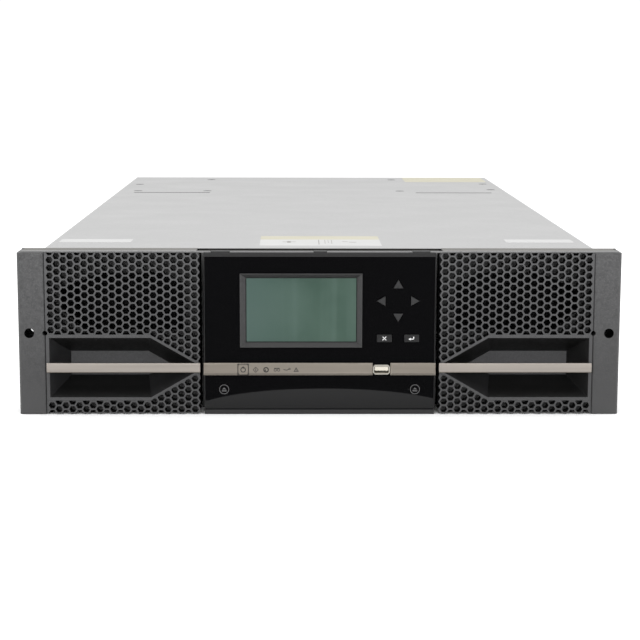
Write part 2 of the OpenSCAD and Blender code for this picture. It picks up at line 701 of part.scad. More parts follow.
module picker_turntable() color("lightsteelblue") set_back() translate([0, picker_y, 0]) {
    translate([0, 0, 6.2]) cylinder(h = picker_z - 6.2, r = hub_r);
    translate([0, 0, 9.4]) cylinder(h = picker_z - 9.4, r = 60);
    for (s = [-1, 1])
        block([-picker_half_len, s * (picker_half_w - 0.8) - 0.8, picker_z - 1.4],
              [picker_half_len, s * (picker_half_w - 0.8) + 0.8, 36]);
    block([-picker_half_len, -picker_half_w, 34], [-12, picker_half_w, 36]);
    block([-20, -picker_half_w, picker_z - 1.4], [20, picker_half_w, picker_z]);
}

module picker_gripper() color("orange") set_back() translate([0, picker_y, 0]) {
    block([-36, -50, picker_z + 0.3], [-14, 50, 32]);
    for (s = [-1, 1]) {
        block([-14 - eps, s * 51 - 1, picker_z + 2], [36, s * 51 + 1, 26]);
        block([32, s * 50 - 2, picker_z + 2], [36, s * 50 + 2, 26]);
    }
}

// ---------- rear bays ----------

module drive_bay() color("silver") set_back() for (s = [-1, 1]) {
    block([s * (drive_half_w + 1.2) - 0.6, bulkhead_y + 14, sheet_t],
          [s * (drive_half_w + 1.2) + 0.6, case_back_y - sheet_t, roof_z]);
    // ledges under the sleds
    for (i = [0:drives - 1])
        block([s * 75.8 - 1.9, drive_front_y, max(sheet_t, drive_floor(i) - 1.6)],
              [s * 75.8 + 1.9, case_back_y - sheet_t, drive_floor(i) - 0.15]);
}

function drive_floor(i) = drive_z0 + i * drive_pitch;

module drive(i) color([0.35, 0.35, 0.36]) set_back() difference() {
    block([-73, drive_front_y, drive_floor(i) + 1.2], [73, 828, drive_floor(i) + drive_h - 1]);
    block([-71.5, drive_front_y + 2, drive_floor(i) + 2.4], [71.5, 826, drive_floor(i) + drive_h - 2.2]);
    // cartridge mouth
    block([-54, drive_front_y - 1, drive_floor(i) + 7], [54, drive_front_y + 3, drive_floor(i) + 32]);
}
module drive_1() drive(0);
module drive_2() drive(1);
module drive_3() drive(2);

module thumb_screw(x, z, y) {
    rod_y(x, z, y - eps, y + 9, 4.6);
    rod_y(x, z, y + 9 - eps, y + 12, 3.6);
}

module pull_handle(x0, x1, z, y) {
    for (x = [x0, x1 - 5]) block([x, y - eps, z], [x + 5, case_back_y + rear_reach - 4, z + 5]);
    block([x0, case_back_y + rear_reach - 5, z], [x1, case_back_y + rear_reach, z + 5]);
}

module drive_sled(i) color("gainsboro") set_back() {
    z0 = drive_floor(i);
    z1 = z0 + drive_h;
    y1 = case_back_y + 1.6;
    block([-75.5, drive_front_y + 4, z0], [75.5, case_back_y + eps, z0 + 1.2]);
    for (s = [-1, 1])
        block([s * 75.1 - 0.8, drive_front_y + 4, z0], [s * 75.1 + 0.8, case_back_y + eps, z1 - 4]);
    plate(case_back_y, y1) difference() {
        rect([-drive_half_w - 1.6, z0 + 0.6], [drive_half_w + 1.6, z1 + 1]);
        // interface sockets
        for (x = [-52, -34]) translate([x, z0 + 14]) square([14, 11], center = true);
        translate([-10, z0 + 14]) square([13, 11.5], center = true);
        // air holes
        for (c = [0:8], r = [0:1])
            translate([12 + c * 5, z0 + 12 + r * 5]) circle(r = 1.8, $fn = 6);
    }
    for (s = [-1, 1]) thumb_screw(s * 69, z0 + drive_h / 2, y1);
    pull_handle(-30, 30, z1 - 10, y1);
}
module drive_1_sled() drive_sled(0);
module drive_2_sled() drive_sled(1);
module drive_3_sled() drive_sled(2);

module power_supply_bay() color("silver") set_back()
    for (z = [for (p = psu_z) each [p - 2.2, p + psu_h + 0.6]])
        block([psu_x0 - 8, psu_front_y - 6, z], [inside_x, case_back_y - sheet_t, z + 1.6]);

module power_supply(i) color("darkgray") set_back() {
    z0 = psu_z[i];
    x1 = psu_x0 + psu_w;
    difference() {
        block([psu_x0, psu_front_y, z0], [x1, case_back_y + 1, z0 + psu_h]);
        block([psu_x0 + 1.2, psu_front_y + 1.2, z0 + 1.2], [x1 - 1.2, case_back_y - 20, z0 + psu_h - 1.2]);
        // power inlet
        block([psu_x0 + 5, case_back_y - 16, z0 + 9], [psu_x0 + 32, case_back_y + 2, z0 + 29]);
        // fan openings
        for (a = [0:60:300])
            rod_y(psu_x0 + 55 + 9.5 * cos(a), z0 + psu_h / 2 + 9.5 * sin(a),
                  case_back_y - 22, case_back_y + 2, 3.6);
        rod_y(psu_x0 + 55, z0 + psu_h / 2, case_back_y - 22, case_back_y + 2, 3.6);
    }
    // three contact blades
    for (dx = [-6, 0, 6])
        block([psu_x0 + 18.5 + dx - 1, case_back_y - 16 - eps, z0 + (dx == 0 ? 20 : 16)],
              [psu_x0 + 18.5 + dx + 1, case_back_y - 4, z0 + (dx == 0 ? 24 : 20)]);
    pull_handle(psu_x0 + 38, psu_x0 + 72, z0 + 1, case_back_y + 1);
    // release latch
    bar(psu_x0 + 22, psu_x0 + 32) polygon([
        [case_back_y + 1 - eps, z0 + 32], [case_back_y + 9, z0 + 33], [case_back_y + 9, z0 + 34.5],
        [case_back_y + 1 - eps, z0 + 36]]);
}
module power_supply_1() power_supply(0);
module power_supply_2() power_supply(1);

module controller_bay() color("silver") set_back() for (x = [controller_x0 - 4, controller_x0 + controller_w + 1])
    block([x, 660, sheet_t], [x + 3, case_back_y - sheet_t, controller_z + 10]);

module library_controller() color("seagreen") set_back() {
    x1 = controller_x0 + controller_w;
    y1 = case_back_y + 1.2;
    block([controller_x0 + 2, 664, controller_z + 4], [x1 - 2, case_back_y + eps, controller_z + 5.6]);
    plate(case_back_y, y1) difference() {
        rect([controller_x0 - 3, controller_z - 3], [x1 + 3, controller_z + controller_h + 3]);
        for (x = [16, 38]) translate([controller_x0 + x, controller_z + 12]) square([15, 12], center = true);
        for (x = [60, 76]) translate([controller_x0 + x, controller_z + 12]) square([6.5, 13], center = true);
    }
    // socket housings on the card
    for (x = [16, 38]) difference() {
        block([controller_x0 + x - 9, 815, controller_z + 5.5], [controller_x0 + x + 9, case_back_y + eps, controller_z + 20]);
        block([controller_x0 + x - 7.5, 818, controller_z + 6.5], [controller_x0 + x + 7.5, y1 + 1, controller_z + 18]);
    }
    for (x = [6, controller_w - 6])
        thumb_screw(controller_x0 + x, controller_z + controller_h - 4, y1);
}

base_tray();
front_flange();
rear_panel();
bulkhead();
top_cover();
cover_screws();
left_ear_cap();
right_ear_cap();
left_guide_rails();
right_guide_rails();
drive_bay();
power_supply_bay();
controller_bay();
left_bezel();
left_bezel_backing();
left_handle_pocket();
left_handle_bar();
left_magazine_tray();
left_magazine_dividers();
left_cartridge_rails();
right_bezel();
right_bezel_backing();
right_handle_pocket();
right_handle_bar();
right_magazine_tray();
right_magazine_dividers();
right_cartridge_rails();
panel_housing();
fascia();
display_frame();
display_screen();
trim_strip();
control_board();
usb_port();
up_key();
down_key();
left_key();
right_key();
cancel_key();
enter_key();
power_key();
left_release_button();
right_release_button();
rack_posts();
lift_frame();
picker_carriage();
picker_turntable();
picker_gripper();
drive_1();
drive_1_sled();
drive_2();
drive_2_sled();
drive_3();
drive_3_sled();
power_supply_1();
power_supply_2();
library_controller();
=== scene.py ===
"""Looks for the three-unit rack tape library.

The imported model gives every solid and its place.  The operators below finish
its surfaces, roll the edges of its mouldings and sheets, add the labels,
printed marks and lamps that lie on them, and set up the studio.
"""

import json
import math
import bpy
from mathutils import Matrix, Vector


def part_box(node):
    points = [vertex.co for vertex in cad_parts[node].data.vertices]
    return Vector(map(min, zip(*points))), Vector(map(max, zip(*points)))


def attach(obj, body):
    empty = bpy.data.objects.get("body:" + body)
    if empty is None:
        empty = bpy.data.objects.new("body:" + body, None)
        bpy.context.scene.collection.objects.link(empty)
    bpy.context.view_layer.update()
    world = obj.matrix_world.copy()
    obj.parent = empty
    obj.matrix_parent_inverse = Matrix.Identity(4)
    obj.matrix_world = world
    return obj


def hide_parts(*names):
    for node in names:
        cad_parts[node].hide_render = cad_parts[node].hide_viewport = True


bl_info = {
    "name": "Rack tape library",
    "version": (1, 0, 0),
    "blender": (4, 5, 0),
    "location": "3D Viewport > Sidebar > Tape library",
    "description": "Finishes, labels, printed marks and studio for a rack tape library",
    "category": "Add Mesh",
}

import bpy
from mathutils import Vector

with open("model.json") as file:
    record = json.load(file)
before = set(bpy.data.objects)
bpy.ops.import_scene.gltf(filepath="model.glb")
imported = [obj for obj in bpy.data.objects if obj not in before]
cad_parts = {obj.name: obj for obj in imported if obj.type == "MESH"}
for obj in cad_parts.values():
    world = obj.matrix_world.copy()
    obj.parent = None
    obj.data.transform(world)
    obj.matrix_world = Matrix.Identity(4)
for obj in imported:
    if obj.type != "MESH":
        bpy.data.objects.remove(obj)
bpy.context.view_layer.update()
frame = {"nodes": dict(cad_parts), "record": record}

MM = 0.001
FRONT_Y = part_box("left_bezel")[0].y
BACK_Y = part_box("rear_panel")[1].y
ROOF_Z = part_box("top_cover")[1].z
STRIP_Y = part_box("trim_strip")[0].y
BODY_OF = {
    node: body for body, nodes in frame["record"]["behaviour"]["bodies"].items() for node in nodes
}
SLOT_OF = {row["node"]: row["material_slot"] for row in frame["record"]["subparts"]}


# ---------- sizes and colours ----------


class TAPELIB_PG_colours(bpy.types.PropertyGroup):
    """Colours of the finishes."""

    cover: bpy.props.FloatVectorProperty(
        name="Cover",
        description="Zinc-grey coat of the top cover",
        default=(0.330, 0.330, 0.330),
        min=0,
        max=1,
        subtype="COLOR",
    )
    zinc: bpy.props.FloatVectorProperty(
        name="Zinc sheet",
        description="Plated steel of the tray, bays and rear panel",
        default=(0.36, 0.365, 0.37),
        min=0,
        max=1,
        subtype="COLOR",
    )
    moulding: bpy.props.FloatVectorProperty(
        name="Ear and panel mouldings",
        description="Dark grey plastic of the ears and the panel housing",
        default=(0.052, 0.052, 0.053),
        min=0,
        max=1,
        subtype="COLOR",
    )
    honeycomb: bpy.props.FloatVectorProperty(
        name="Honeycomb",
        description="Satin grey plastic of the bezels",
        default=(0.068, 0.068, 0.070),
        min=0,
        max=1,
        subtype="COLOR",
    )
    champagne: bpy.props.FloatVectorProperty(
        name="Trim",
        description="Anodised metal of the handle bars and the centre strip",
        default=(0.279, 0.248, 0.211),
        min=0,
        max=1,
        subtype="COLOR",
    )
    display: bpy.props.FloatVectorProperty(
        name="Display",
        description="Grey-green of the unlit display",
        default=(0.041, 0.078, 0.059),
        min=0,
        max=1,
        subtype="COLOR",
    )
    label_band: bpy.props.FloatVectorProperty(
        name="Label band",
        description="Pale yellow band of the blank labels",
        default=(0.405, 0.385, 0.292),
        min=0,
        max=1,
        subtype="COLOR",
    )


class TAPELIB_PG_sizes(bpy.types.PropertyGroup):
    """Sizes of the edges, labels and marks."""

    moulding_edge: bpy.props.FloatProperty(
        name="Moulding edge",
        description="Rolled edge of the plastic mouldings",
        default=0.4 * MM,
        unit="LENGTH",
    )
    comb_edge: bpy.props.FloatProperty(
        name="Honeycomb edge",
        description="Rolled front edge of the honeycomb walls",
        default=0.22 * MM,
        unit="LENGTH",
    )
    sheet_edge: bpy.props.FloatProperty(
        name="Sheet edge",
        description="Broken edge of the sheet metal",
        default=0.25 * MM,
        unit="LENGTH",
    )
    label_thickness: bpy.props.FloatProperty(
        name="Label thickness",
        description="Thickness of the blank labels",
        default=0.12 * MM,
        unit="LENGTH",
    )
    label_corner: bpy.props.FloatProperty(
        name="Label corner",
        description="Corner radius of the blank labels",
        default=1.5 * MM,
        unit="LENGTH",
    )
    print_thickness: bpy.props.FloatProperty(
        name="Print thickness",
        description="How far printed marks stand on the surface",
        default=0.05 * MM,
        unit="LENGTH",
    )
    floor_size: bpy.props.FloatProperty(
        name="Floor",
        description="Side of the studio floor",
        default=60.0,
        unit="LENGTH",
    )


# ---------- helpers for pieces ----------


def clear_selection():
    """Leaves edit mode and selects nothing."""
    if bpy.context.object and bpy.context.object.mode != "OBJECT":
        bpy.ops.object.mode_set(mode="OBJECT")
    bpy.ops.object.select_all(action="DESELECT")


def work_on(piece):
    """Selects this piece alone and makes it active."""
    clear_selection()
    piece.select_set(True)
    bpy.context.view_layer.objects.active = piece


def apply_place():
    """Applies the active piece's place, turn and size to its mesh."""
    bpy.ops.object.transform_apply(location=True, rotation=True, scale=True)


def edit_all():
    """Edits the active piece with all of it selected."""
    bpy.ops.object.mode_set(mode="EDIT")
    bpy.ops.mesh.select_all(action="SELECT")


def thicken(thickness):
    """Raises the selected face into a thin sheet and leaves edit mode."""
    bpy.ops.mesh.extrude_region_move(TRANSFORM_OT_translate={"value": (0, 0, thickness)})
    bpy.ops.mesh.select_all(action="SELECT")
    bpy.ops.mesh.normals_make_consistent(inside=False)
    bpy.ops.object.mode_set(mode="OBJECT")


def finish_piece(piece, name, body, slot, *finishes, smooth=35):
    """Applies the piece's place, shades it and lets it ride on its body."""
    work_on(piece)
    apply_place()
    bpy.ops.object.shade_smooth_by_angle(angle=math.radians(smooth))
    piece.name = name
    piece.data.name = name
    kept = [face.material_index for face in piece.data.polygons]
    piece.data.materials.clear()
    for finish in finishes:
        piece.data.materials.append(bpy.data.materials[finish])
    for face, index in zip(piece.data.polygons, kept):
        face.material_index = min(index, len(finishes) - 1)
    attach(piece, body)
    return piece


def dress_faces(piece, finish, test):
    """Gives one more finish to a piece, on the faces that pass the test."""
    piece.data.materials.append(bpy.data.materials[finish])
    index = len(piece.data.materials) - 1
    dressed = 0
    for face in piece.data.polygons:
        if test(face):
            face.material_index = index
            dressed += 1
    if not dressed:
        raise RuntimeError(f"no face of {piece.name} takes {finish}")


def join_pieces(pieces):
    """Joins several pieces into the first of them."""
    clear_selection()
    for piece in pieces:
        piece.select_set(True)
    bpy.context.view_layer.objects.active = pieces[0]
    bpy.ops.object.join()
    return bpy.context.object


def rolled_copy(node, width, segments=2, angle=40, finish=None):
    """Replaces a solid by a copy with its edges rolled where they are sharper than an angle."""
    source = frame["nodes"][node]
    piece = bpy.data.objects.new(node + "_rolled", source.data.copy())
    bpy.context.scene.collection.objects.link(piece)
    work_on(piece)
    edit_all()
    bpy.ops.mesh.remove_doubles(threshold=0.003 * MM)
    bpy.ops.mesh.dissolve_limited(angle_limit=math.radians(0.3))
    bpy.ops.object.mode_set(mode="OBJECT")
    bevel = piece.modifiers.new("Rolled edges", "BEVEL")
    bevel.width = width
    bevel.segments = segments
    bevel.limit_method = "ANGLE"
    bevel.angle_limit = math.radians(angle)
    bevel.use_clamp_overlap = True
    bpy.ops.object.modifier_apply(modifier=bevel.name)
    finish_piece(
        piece,
        node + "_rolled",
        BODY_OF[node],
        SLOT_OF[node],
        finish or FINISH_OF[SLOT_OF[node]],
        smooth=32,
    )
    flats = piece.modifiers.new("Flat faces", "WEIGHTED_NORMAL")
    flats.keep_sharp = True
    bpy.ops.object.modifier_apply(modifier=flats.name)
    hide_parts(node)
    return piece


def rolled_block(size, place, edge, segments):
    """A block with rolled edges, centred at a place."""
    clear_selection()
    bpy.ops.mesh.primitive_cube_add(size=1, location=place)
    block = bpy.context.object
    block.scale = size
    apply_place()
    edit_all()
    bpy.ops.mesh.bevel(offset=edge, segments=segments)
    bpy.ops.object.mode_set(mode="OBJECT")
    return block


def flat_patch(name, x_low, x_high, from_front, to_front, z, thickness, corner):
    """A thin round-cornered sheet on z, its sides in millimetres from the middle and the front."""
    clear_selection()
    low = (x_low * MM, FRONT_Y + from_front * MM)
    high = (x_high * MM, FRONT_Y + to_front * MM)
    centre = ((low[0] + high[0]) / 2, (low[1] + high[1]) / 2, z)
    bpy.ops.mesh.primitive_plane_add(size=1, location=centre)
    patch = bpy.context.object
    patch.name = name
    patch.scale = (high[0] - low[0], high[1] - low[1], 1)
    apply_place()
    edit_all()
    bpy.ops.mesh.bevel(offset=corner, segments=5, affect="VERTICES")
    bpy.ops.mesh.select_all(action="SELECT")
    thicken(thickness)
    return patch


def front_centre(node):
    """The middle of a solid's front face."""
    low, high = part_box(node)
    return (low.x + high.x) / 2, low.y, (low.z + high.z) / 2


def flat_polygon(sides, radius):
    """Starts a mark: a flat polygon round the origin, all of it selected in edit mode."""
    clear_selection()
    bpy.ops.mesh.primitive_circle_add(vertices=sides, radius=radius, fill_type="NGON")
    edit_all()


def raise_mark(spot, right, up, turn):
    """Gives the flat mark its thickness and stands it up beside a spot, facing forward."""
    thicken(bpy.context.scene.tapelib_sizes.print_thickness)
    mark = bpy.context.object
    mark.rotation_euler = (math.radians(90), math.radians(turn), 0)
    mark.location = (spot[0] + right * MM, spot[1], spot[2] + up * MM)
    apply_place()
    return mark


# The marks below take a spot on the front and then millimetres: how far right and up of the
# spot they lie, and their sizes.


def printed_ring(spot, right, up, radius, line, sides=32, turn=0.0):
    """A flat ring, or a hollow polygon, printed on a surface that faces forward."""
    flat_polygon(sides, radius * MM)
    bpy.ops.mesh.inset(thickness=line * MM)
    bpy.ops.mesh.delete(type="FACE")
    bpy.ops.mesh.select_all(action="SELECT")
    return raise_mark(spot, right, up, turn)


def printed_triangle(spot, right, up, radius, stretch=(1, 1), turn=0.0):
    """A filled triangle that points up, stretched before it is turned."""
    flat_polygon(3, radius * MM)
    bpy.ops.transform.resize(value=(*stretch, 1), center_override=(0, 0, 0))
    return raise_mark(spot, right, up, turn)


def printed_bar(spot, right, up, length, height, turn=0.0):
    """A printed line of a given length and height."""
    half_diagonal = math.sqrt(2) / 2
    flat_polygon(4, half_diagonal)
    bpy.ops.transform.rotate(value=math.radians(45), orient_axis="Z", center_override=(0, 0, 0))
    bpy.ops.transform.resize(value=(length * MM, height * MM, 1), center_override=(0, 0, 0))
    return raise_mark(spot, right, up, turn)


# ---------- helpers for finishes ----------


class Recipe:
    """Builds the nodes of one finish round its shader."""

    def __init__(self, name, colour, roughness, metallic=0.0, specular=0.5):
        self.material = bpy.data.materials.new(name)
        self.material.use_nodes = True
        self.nodes = self.material.node_tree.nodes
        self.links = self.material.node_tree.links
        self.shader = self.nodes["Principled BSDF"]
        self.colour = (*colour[:3], 1)
        self.shader.inputs["Base Color"].default_value = self.colour
        self.shader.inputs["Roughness"].default_value = roughness
        self.shader.inputs["Metallic"].default_value = metallic
        self.shader.inputs["Specular IOR Level"].default_value = specular
        self.material.diffuse_color = self.colour
        self.place = self.nodes.new("ShaderNodeTexCoord").outputs["Object"]

    def stretched(self, factors):
        """Object coordinates multiplied along each axis."""
        mapping = self.nodes.new("ShaderNodeMapping")
        mapping.inputs["Scale"].default_value = factors
        self.links.new(self.place, mapping.inputs["Vector"])
        return mapping.outputs["Vector"]

    def noise(self, scale, detail=2.0, factors=None):
        """Soft random variation, with so many waves in a metre."""
        noise = self.nodes.new("ShaderNodeTexNoise")
        noise.inputs["Scale"].default_value = scale
        noise.inputs["Detail"].default_value = detail
        place = self.stretched(factors) if factors else self.place
        self.links.new(place, noise.inputs["Vector"])
        return noise.outputs["Fac"]

    def cells(self, scale):
        """Distance from the centre of random cells, with so many in a metre."""
        cells = self.nodes.new("ShaderNodeTexVoronoi")
        cells.inputs["Scale"].default_value = scale
        self.links.new(self.place, cells.inputs["Vector"])
        return cells.outputs["Distance"]

    def span(self, value, low, high, start=0.3, stop=0.7):
        """Maps a varying value from start..stop to low..high."""
        remap = self.nodes.new("ShaderNodeMapRange")
        remap.inputs["From Min"].default_value = start
        remap.inputs["From Max"].default_value = stop
        remap.inputs["To Min"].default_value = low
        remap.inputs["To Max"].default_value = high
        self.links.new(value, remap.inputs["Value"])
        return remap.outputs["Result"]

    def ramp(self, start, stop, axis="Z"):
        """A value that grows from 0 to 1 between two places on an axis."""
        parts = self.nodes.new("ShaderNodeSeparateXYZ")
        self.links.new(self.place, parts.inputs["Vector"])
        return self.span(parts.outputs[axis], 0.0, 1.0, start, stop)

    def blend(self, factor, first, second):
        """Mixes two colours, or outputs, by a varying factor."""
        mix = self.nodes.new("ShaderNodeMix")
        mix.data_type = "RGBA"
        self.links.new(factor, mix.inputs[0])
        for socket, value in ((mix.inputs[6], first), (mix.inputs[7], second)):
            if isinstance(value, bpy.types.NodeSocket):
                self.links.new(value, socket)
            else:
                socket.default_value = value
        return mix.outputs[2]

    def shade(self, factor):
        """The finish's own colour made lighter or darker."""
        return tuple(min(1.0, part * factor) for part in self.colour[:3]) + (1.0,)

    def mottle(self, value, darker, lighter, start=0.3, stop=0.7):
        """Lets the colour wander between a darker and a lighter tone of itself."""
        factor = self.span(value, 0.0, 1.0, start, stop)
        return self.blend(factor, self.shade(darker), self.shade(lighter))

    def paint(self, colour):
        """Gives the shader a varying colour."""
        self.links.new(colour, self.shader.inputs["Base Color"])

    def gloss(self, value):
        """Gives the shader a varying roughness."""
        self.links.new(value, self.shader.inputs["Roughness"])

    def relief(self, *layers):
        """Surface relief from layers of (height, strength, depth in metres)."""
        normal = None
        for height, strength, depth in layers:
            bump = self.nodes.new("ShaderNodeBump")
            bump.inputs["Strength"].default_value = strength
            bump.inputs["Distance"].default_value = depth
            self.links.new(height, bump.inputs["Height"])
            if normal:
                self.links.new(normal, bump.inputs["Normal"])
            normal = bump.outputs["Normal"]
        self.links.new(normal, self.shader.inputs["Normal"])


def moulded_plastic(
    name, colour, roughness, grain=2600.0, depth=0.06 * MM, mottle=0.07, foot=1.0, shine=0.42
):
    """Spark-eroded plastic: a fine grain, a faint mottle, uneven gloss and painted shade at the
    foot.
    """
    recipe = Recipe(name, colour, roughness, specular=shine)
    patches = recipe.noise(420.0, 3.0)
    broad = recipe.noise(9.0, 2.0)
    tone = recipe.mottle(patches, 1 - mottle, 1 + mottle)
    dusty = recipe.shade(1 + mottle)
    even = recipe.blend(recipe.span(broad, 0.0, 0.45), tone, dusty)
    sparks = recipe.span(recipe.noise(1000.0, 1.0), 0.0, 1.0, 0.5, 0.75)
    speckled = recipe.blend(sparks, even, recipe.shade(1 + 2 * mottle))
    # painted shade: the colour darkens by the foot factor over the lowest 125 mm
    recipe.paint(recipe.blend(recipe.ramp(0.0, 0.125), recipe.shade(foot), speckled))
    recipe.gloss(recipe.span(patches, roughness - 0.05, roughness + 0.06))
    grain_height = recipe.noise(grain, 2.0)
    recipe.relief((grain_height, 0.5, depth), (patches, 0.1, 0.1 * MM))


def plated_sheet(name, colour, roughness, metallic, spangle):
    """Plated steel sheet: faint crystals, rolling lines and soft handling marks."""
    recipe = Recipe(name, colour, roughness, metallic)
    crystals = recipe.cells(spangle)
    lines = recipe.noise(1.0, 3.0, (900.0, 14.0, 900.0))
    marks = recipe.noise(14.0, 4.0)
    tone = recipe.mottle(crystals, 0.97, 1.03, 0.1, 0.9)
    lined = recipe.blend(recipe.span(lines, 0.0, 0.22), tone, recipe.shade(0.93))
    recipe.paint(recipe.blend(recipe.span(marks, 0.0, 0.3, 0.5, 0.75), lined, recipe.shade(1.05)))
    recipe.gloss(recipe.span(marks, roughness - 0.06, roughness + 0.07))
    recipe.relief((lines, 0.12, 0.02 * MM), (marks, 0.05, 0.3 * MM))


def satin_metal(name, colour, roughness, factors, metallic=0.75):
    """Brushed and anodised metal with its grain along one axis."""
    recipe = Recipe(name, colour, roughness, metallic)
    grain = recipe.noise(1.0, 3.0, factors)
    broad = recipe.noise(16.0, 2.0)
    tone = recipe.mottle(grain, 0.94, 1.05)
    recipe.paint(recipe.blend(recipe.span(broad, 0.0, 0.35), tone, recipe.shade(0.93)))
    recipe.gloss(recipe.span(grain, roughness - 0.05, roughness + 0.06))
    recipe.relief((grain, 0.18, 0.02 * MM))


def polished_plastic(name, colour, roughness):
    """Polished moulding: a faint waviness, fine dust and hairline scratches."""
    recipe = Recipe(name, colour, roughness, specular=0.25)
    dust = recipe.noise(2300.0, 2.0)
    speck = recipe.span(dust, 0.0, 1.0, 0.70, 0.76)
    scratches = recipe.noise(1.0, 4.0, (30.0, 30.0, 2200.0))
    smears = recipe.noise(22.0, 3.0)
    recipe.paint(recipe.blend(speck, recipe.colour, (0.035, 0.035, 0.035, 1)))
    recipe.gloss(recipe.span(smears, roughness * 0.7, roughness * 1.7))
    recipe.relief((smears, 0.04, 0.4 * MM), (scratches, 0.03, 0.01 * MM))


def display_face(name, colour):
    """Unlit reflective display: soft clouds, a faint column pattern and a satin polariser."""
    recipe = Recipe(name, colour, 0.32)
    clouds = recipe.noise(34.0, 3.0)
    columns = recipe.noise(1.0, 1.0, (120.0, 1.0, 3.0))
    dots = recipe.cells(2600.0)
    tone = recipe.mottle(clouds, 0.90, 1.10)
    cooler = recipe.blend(recipe.ramp(-0.06, 0.0, "X"), (0.050, 0.088, 0.076, 1), tone)
    streaks = recipe.span(columns, 0.0, 0.12, 0.55, 0.75)
    streaked = recipe.blend(streaks, cooler, (0.130, 0.190, 0.170, 1))
    recipe.paint(recipe.blend(recipe.span(dots, 0.0, 0.12, 0.2, 0.7), streaked, recipe.shade(0.7)))
    recipe.gloss(recipe.span(clouds, 0.28, 0.38))
    recipe.relief((dots, 0.04, 0.01 * MM))


def coated_board(name):
    """Circuit board: solder mask over tracks, with a woven core under it."""
    recipe = Recipe(name, (0.012, 0.085, 0.035), 0.35)
    bricks = recipe.nodes.new("ShaderNodeTexBrick")
    bricks.inputs["Scale"].default_value = 260.0
    bricks.inputs["Mortar Size"].default_value = 0.06
    bricks.inputs["Color1"].default_value = (0.012, 0.085, 0.035, 1)
    bricks.inputs["Color2"].default_value = (0.010, 0.070, 0.030, 1)
    bricks.inputs["Mortar"].default_value = (0.030, 0.150, 0.060, 1)
    turned = recipe.nodes.new("ShaderNodeMapping")
    turned.inputs["Rotation"].default_value = (math.radians(90), 0, 0)
    recipe.links.new(recipe.place, turned.inputs["Vector"])
    recipe.links.new(turned.outputs["Vector"], bricks.inputs["Vector"])
    weave = recipe.noise(1500.0, 1.0)
    woven = recipe.span(weave, 0.0, 0.3)
    recipe.paint(recipe.blend(woven, bricks.outputs["Color"], (0.02, 0.11, 0.05, 1)))
    recipe.gloss(recipe.span(weave, 0.28, 0.42))
    recipe.relief((bricks.outputs["Fac"], 0.15, 0.03 * MM))


def label_film(name, colour):
    """Satin label film with paper fibres and slight yellowing."""
    recipe = Recipe(name, colour, 0.5)
    fibres = recipe.noise(1.0, 3.0, (500.0, 1900.0, 500.0))
    age = recipe.noise(26.0, 2.0)
    tone = recipe.mottle(fibres, 0.97, 1.02)
    recipe.paint(recipe.blend(recipe.span(age, 0.0, 0.25), tone, recipe.shade(0.94)))
    recipe.gloss(recipe.span(age, 0.42, 0.58))
    recipe.relief((fibres, 0.1, 0.02 * MM), (age, 0.08, 0.3 * MM))


def ink(name, colour, roughness=0.55):
    """Screen-printed ink with a slightly open edge and uneven cover."""
    recipe = Recipe(name, colour, roughness)
    cover = recipe.noise(3200.0, 2.0)
    recipe.paint(recipe.mottle(cover, 0.86, 1.10))
    recipe.gloss(recipe.span(cover, roughness - 0.06, roughness + 0.08))
    recipe.relief((cover, 0.2, 0.01 * MM))


FINISH_OF = {
    "zinc_sheet": "Zinc sheet",
    "cover_paint": "Cover coat",
    "ear_plastic": "Ear moulding",
    "bezel_plastic": "Honeycomb moulding",
    "pocket_plastic": "Recess moulding",
    "champagne_metal": "Champagne trim",
    "tray_steel": "Dark steel sheet",
    "inner_plastic": "Inner moulding",
    "gloss_black": "Polished black",
    "frame_plastic": "Panel moulding",
    "lcd_glass": "Display face",
    "board": "Circuit board",
    "bright_metal": "Nickel plate",
    "key_grey": "Grey key",
    "key_dark": "Dark key",
    "robot_plastic": "Robot moulding",
    "robot_metal": "Milled aluminium",
    "grip_plastic": "Orange moulding",
}


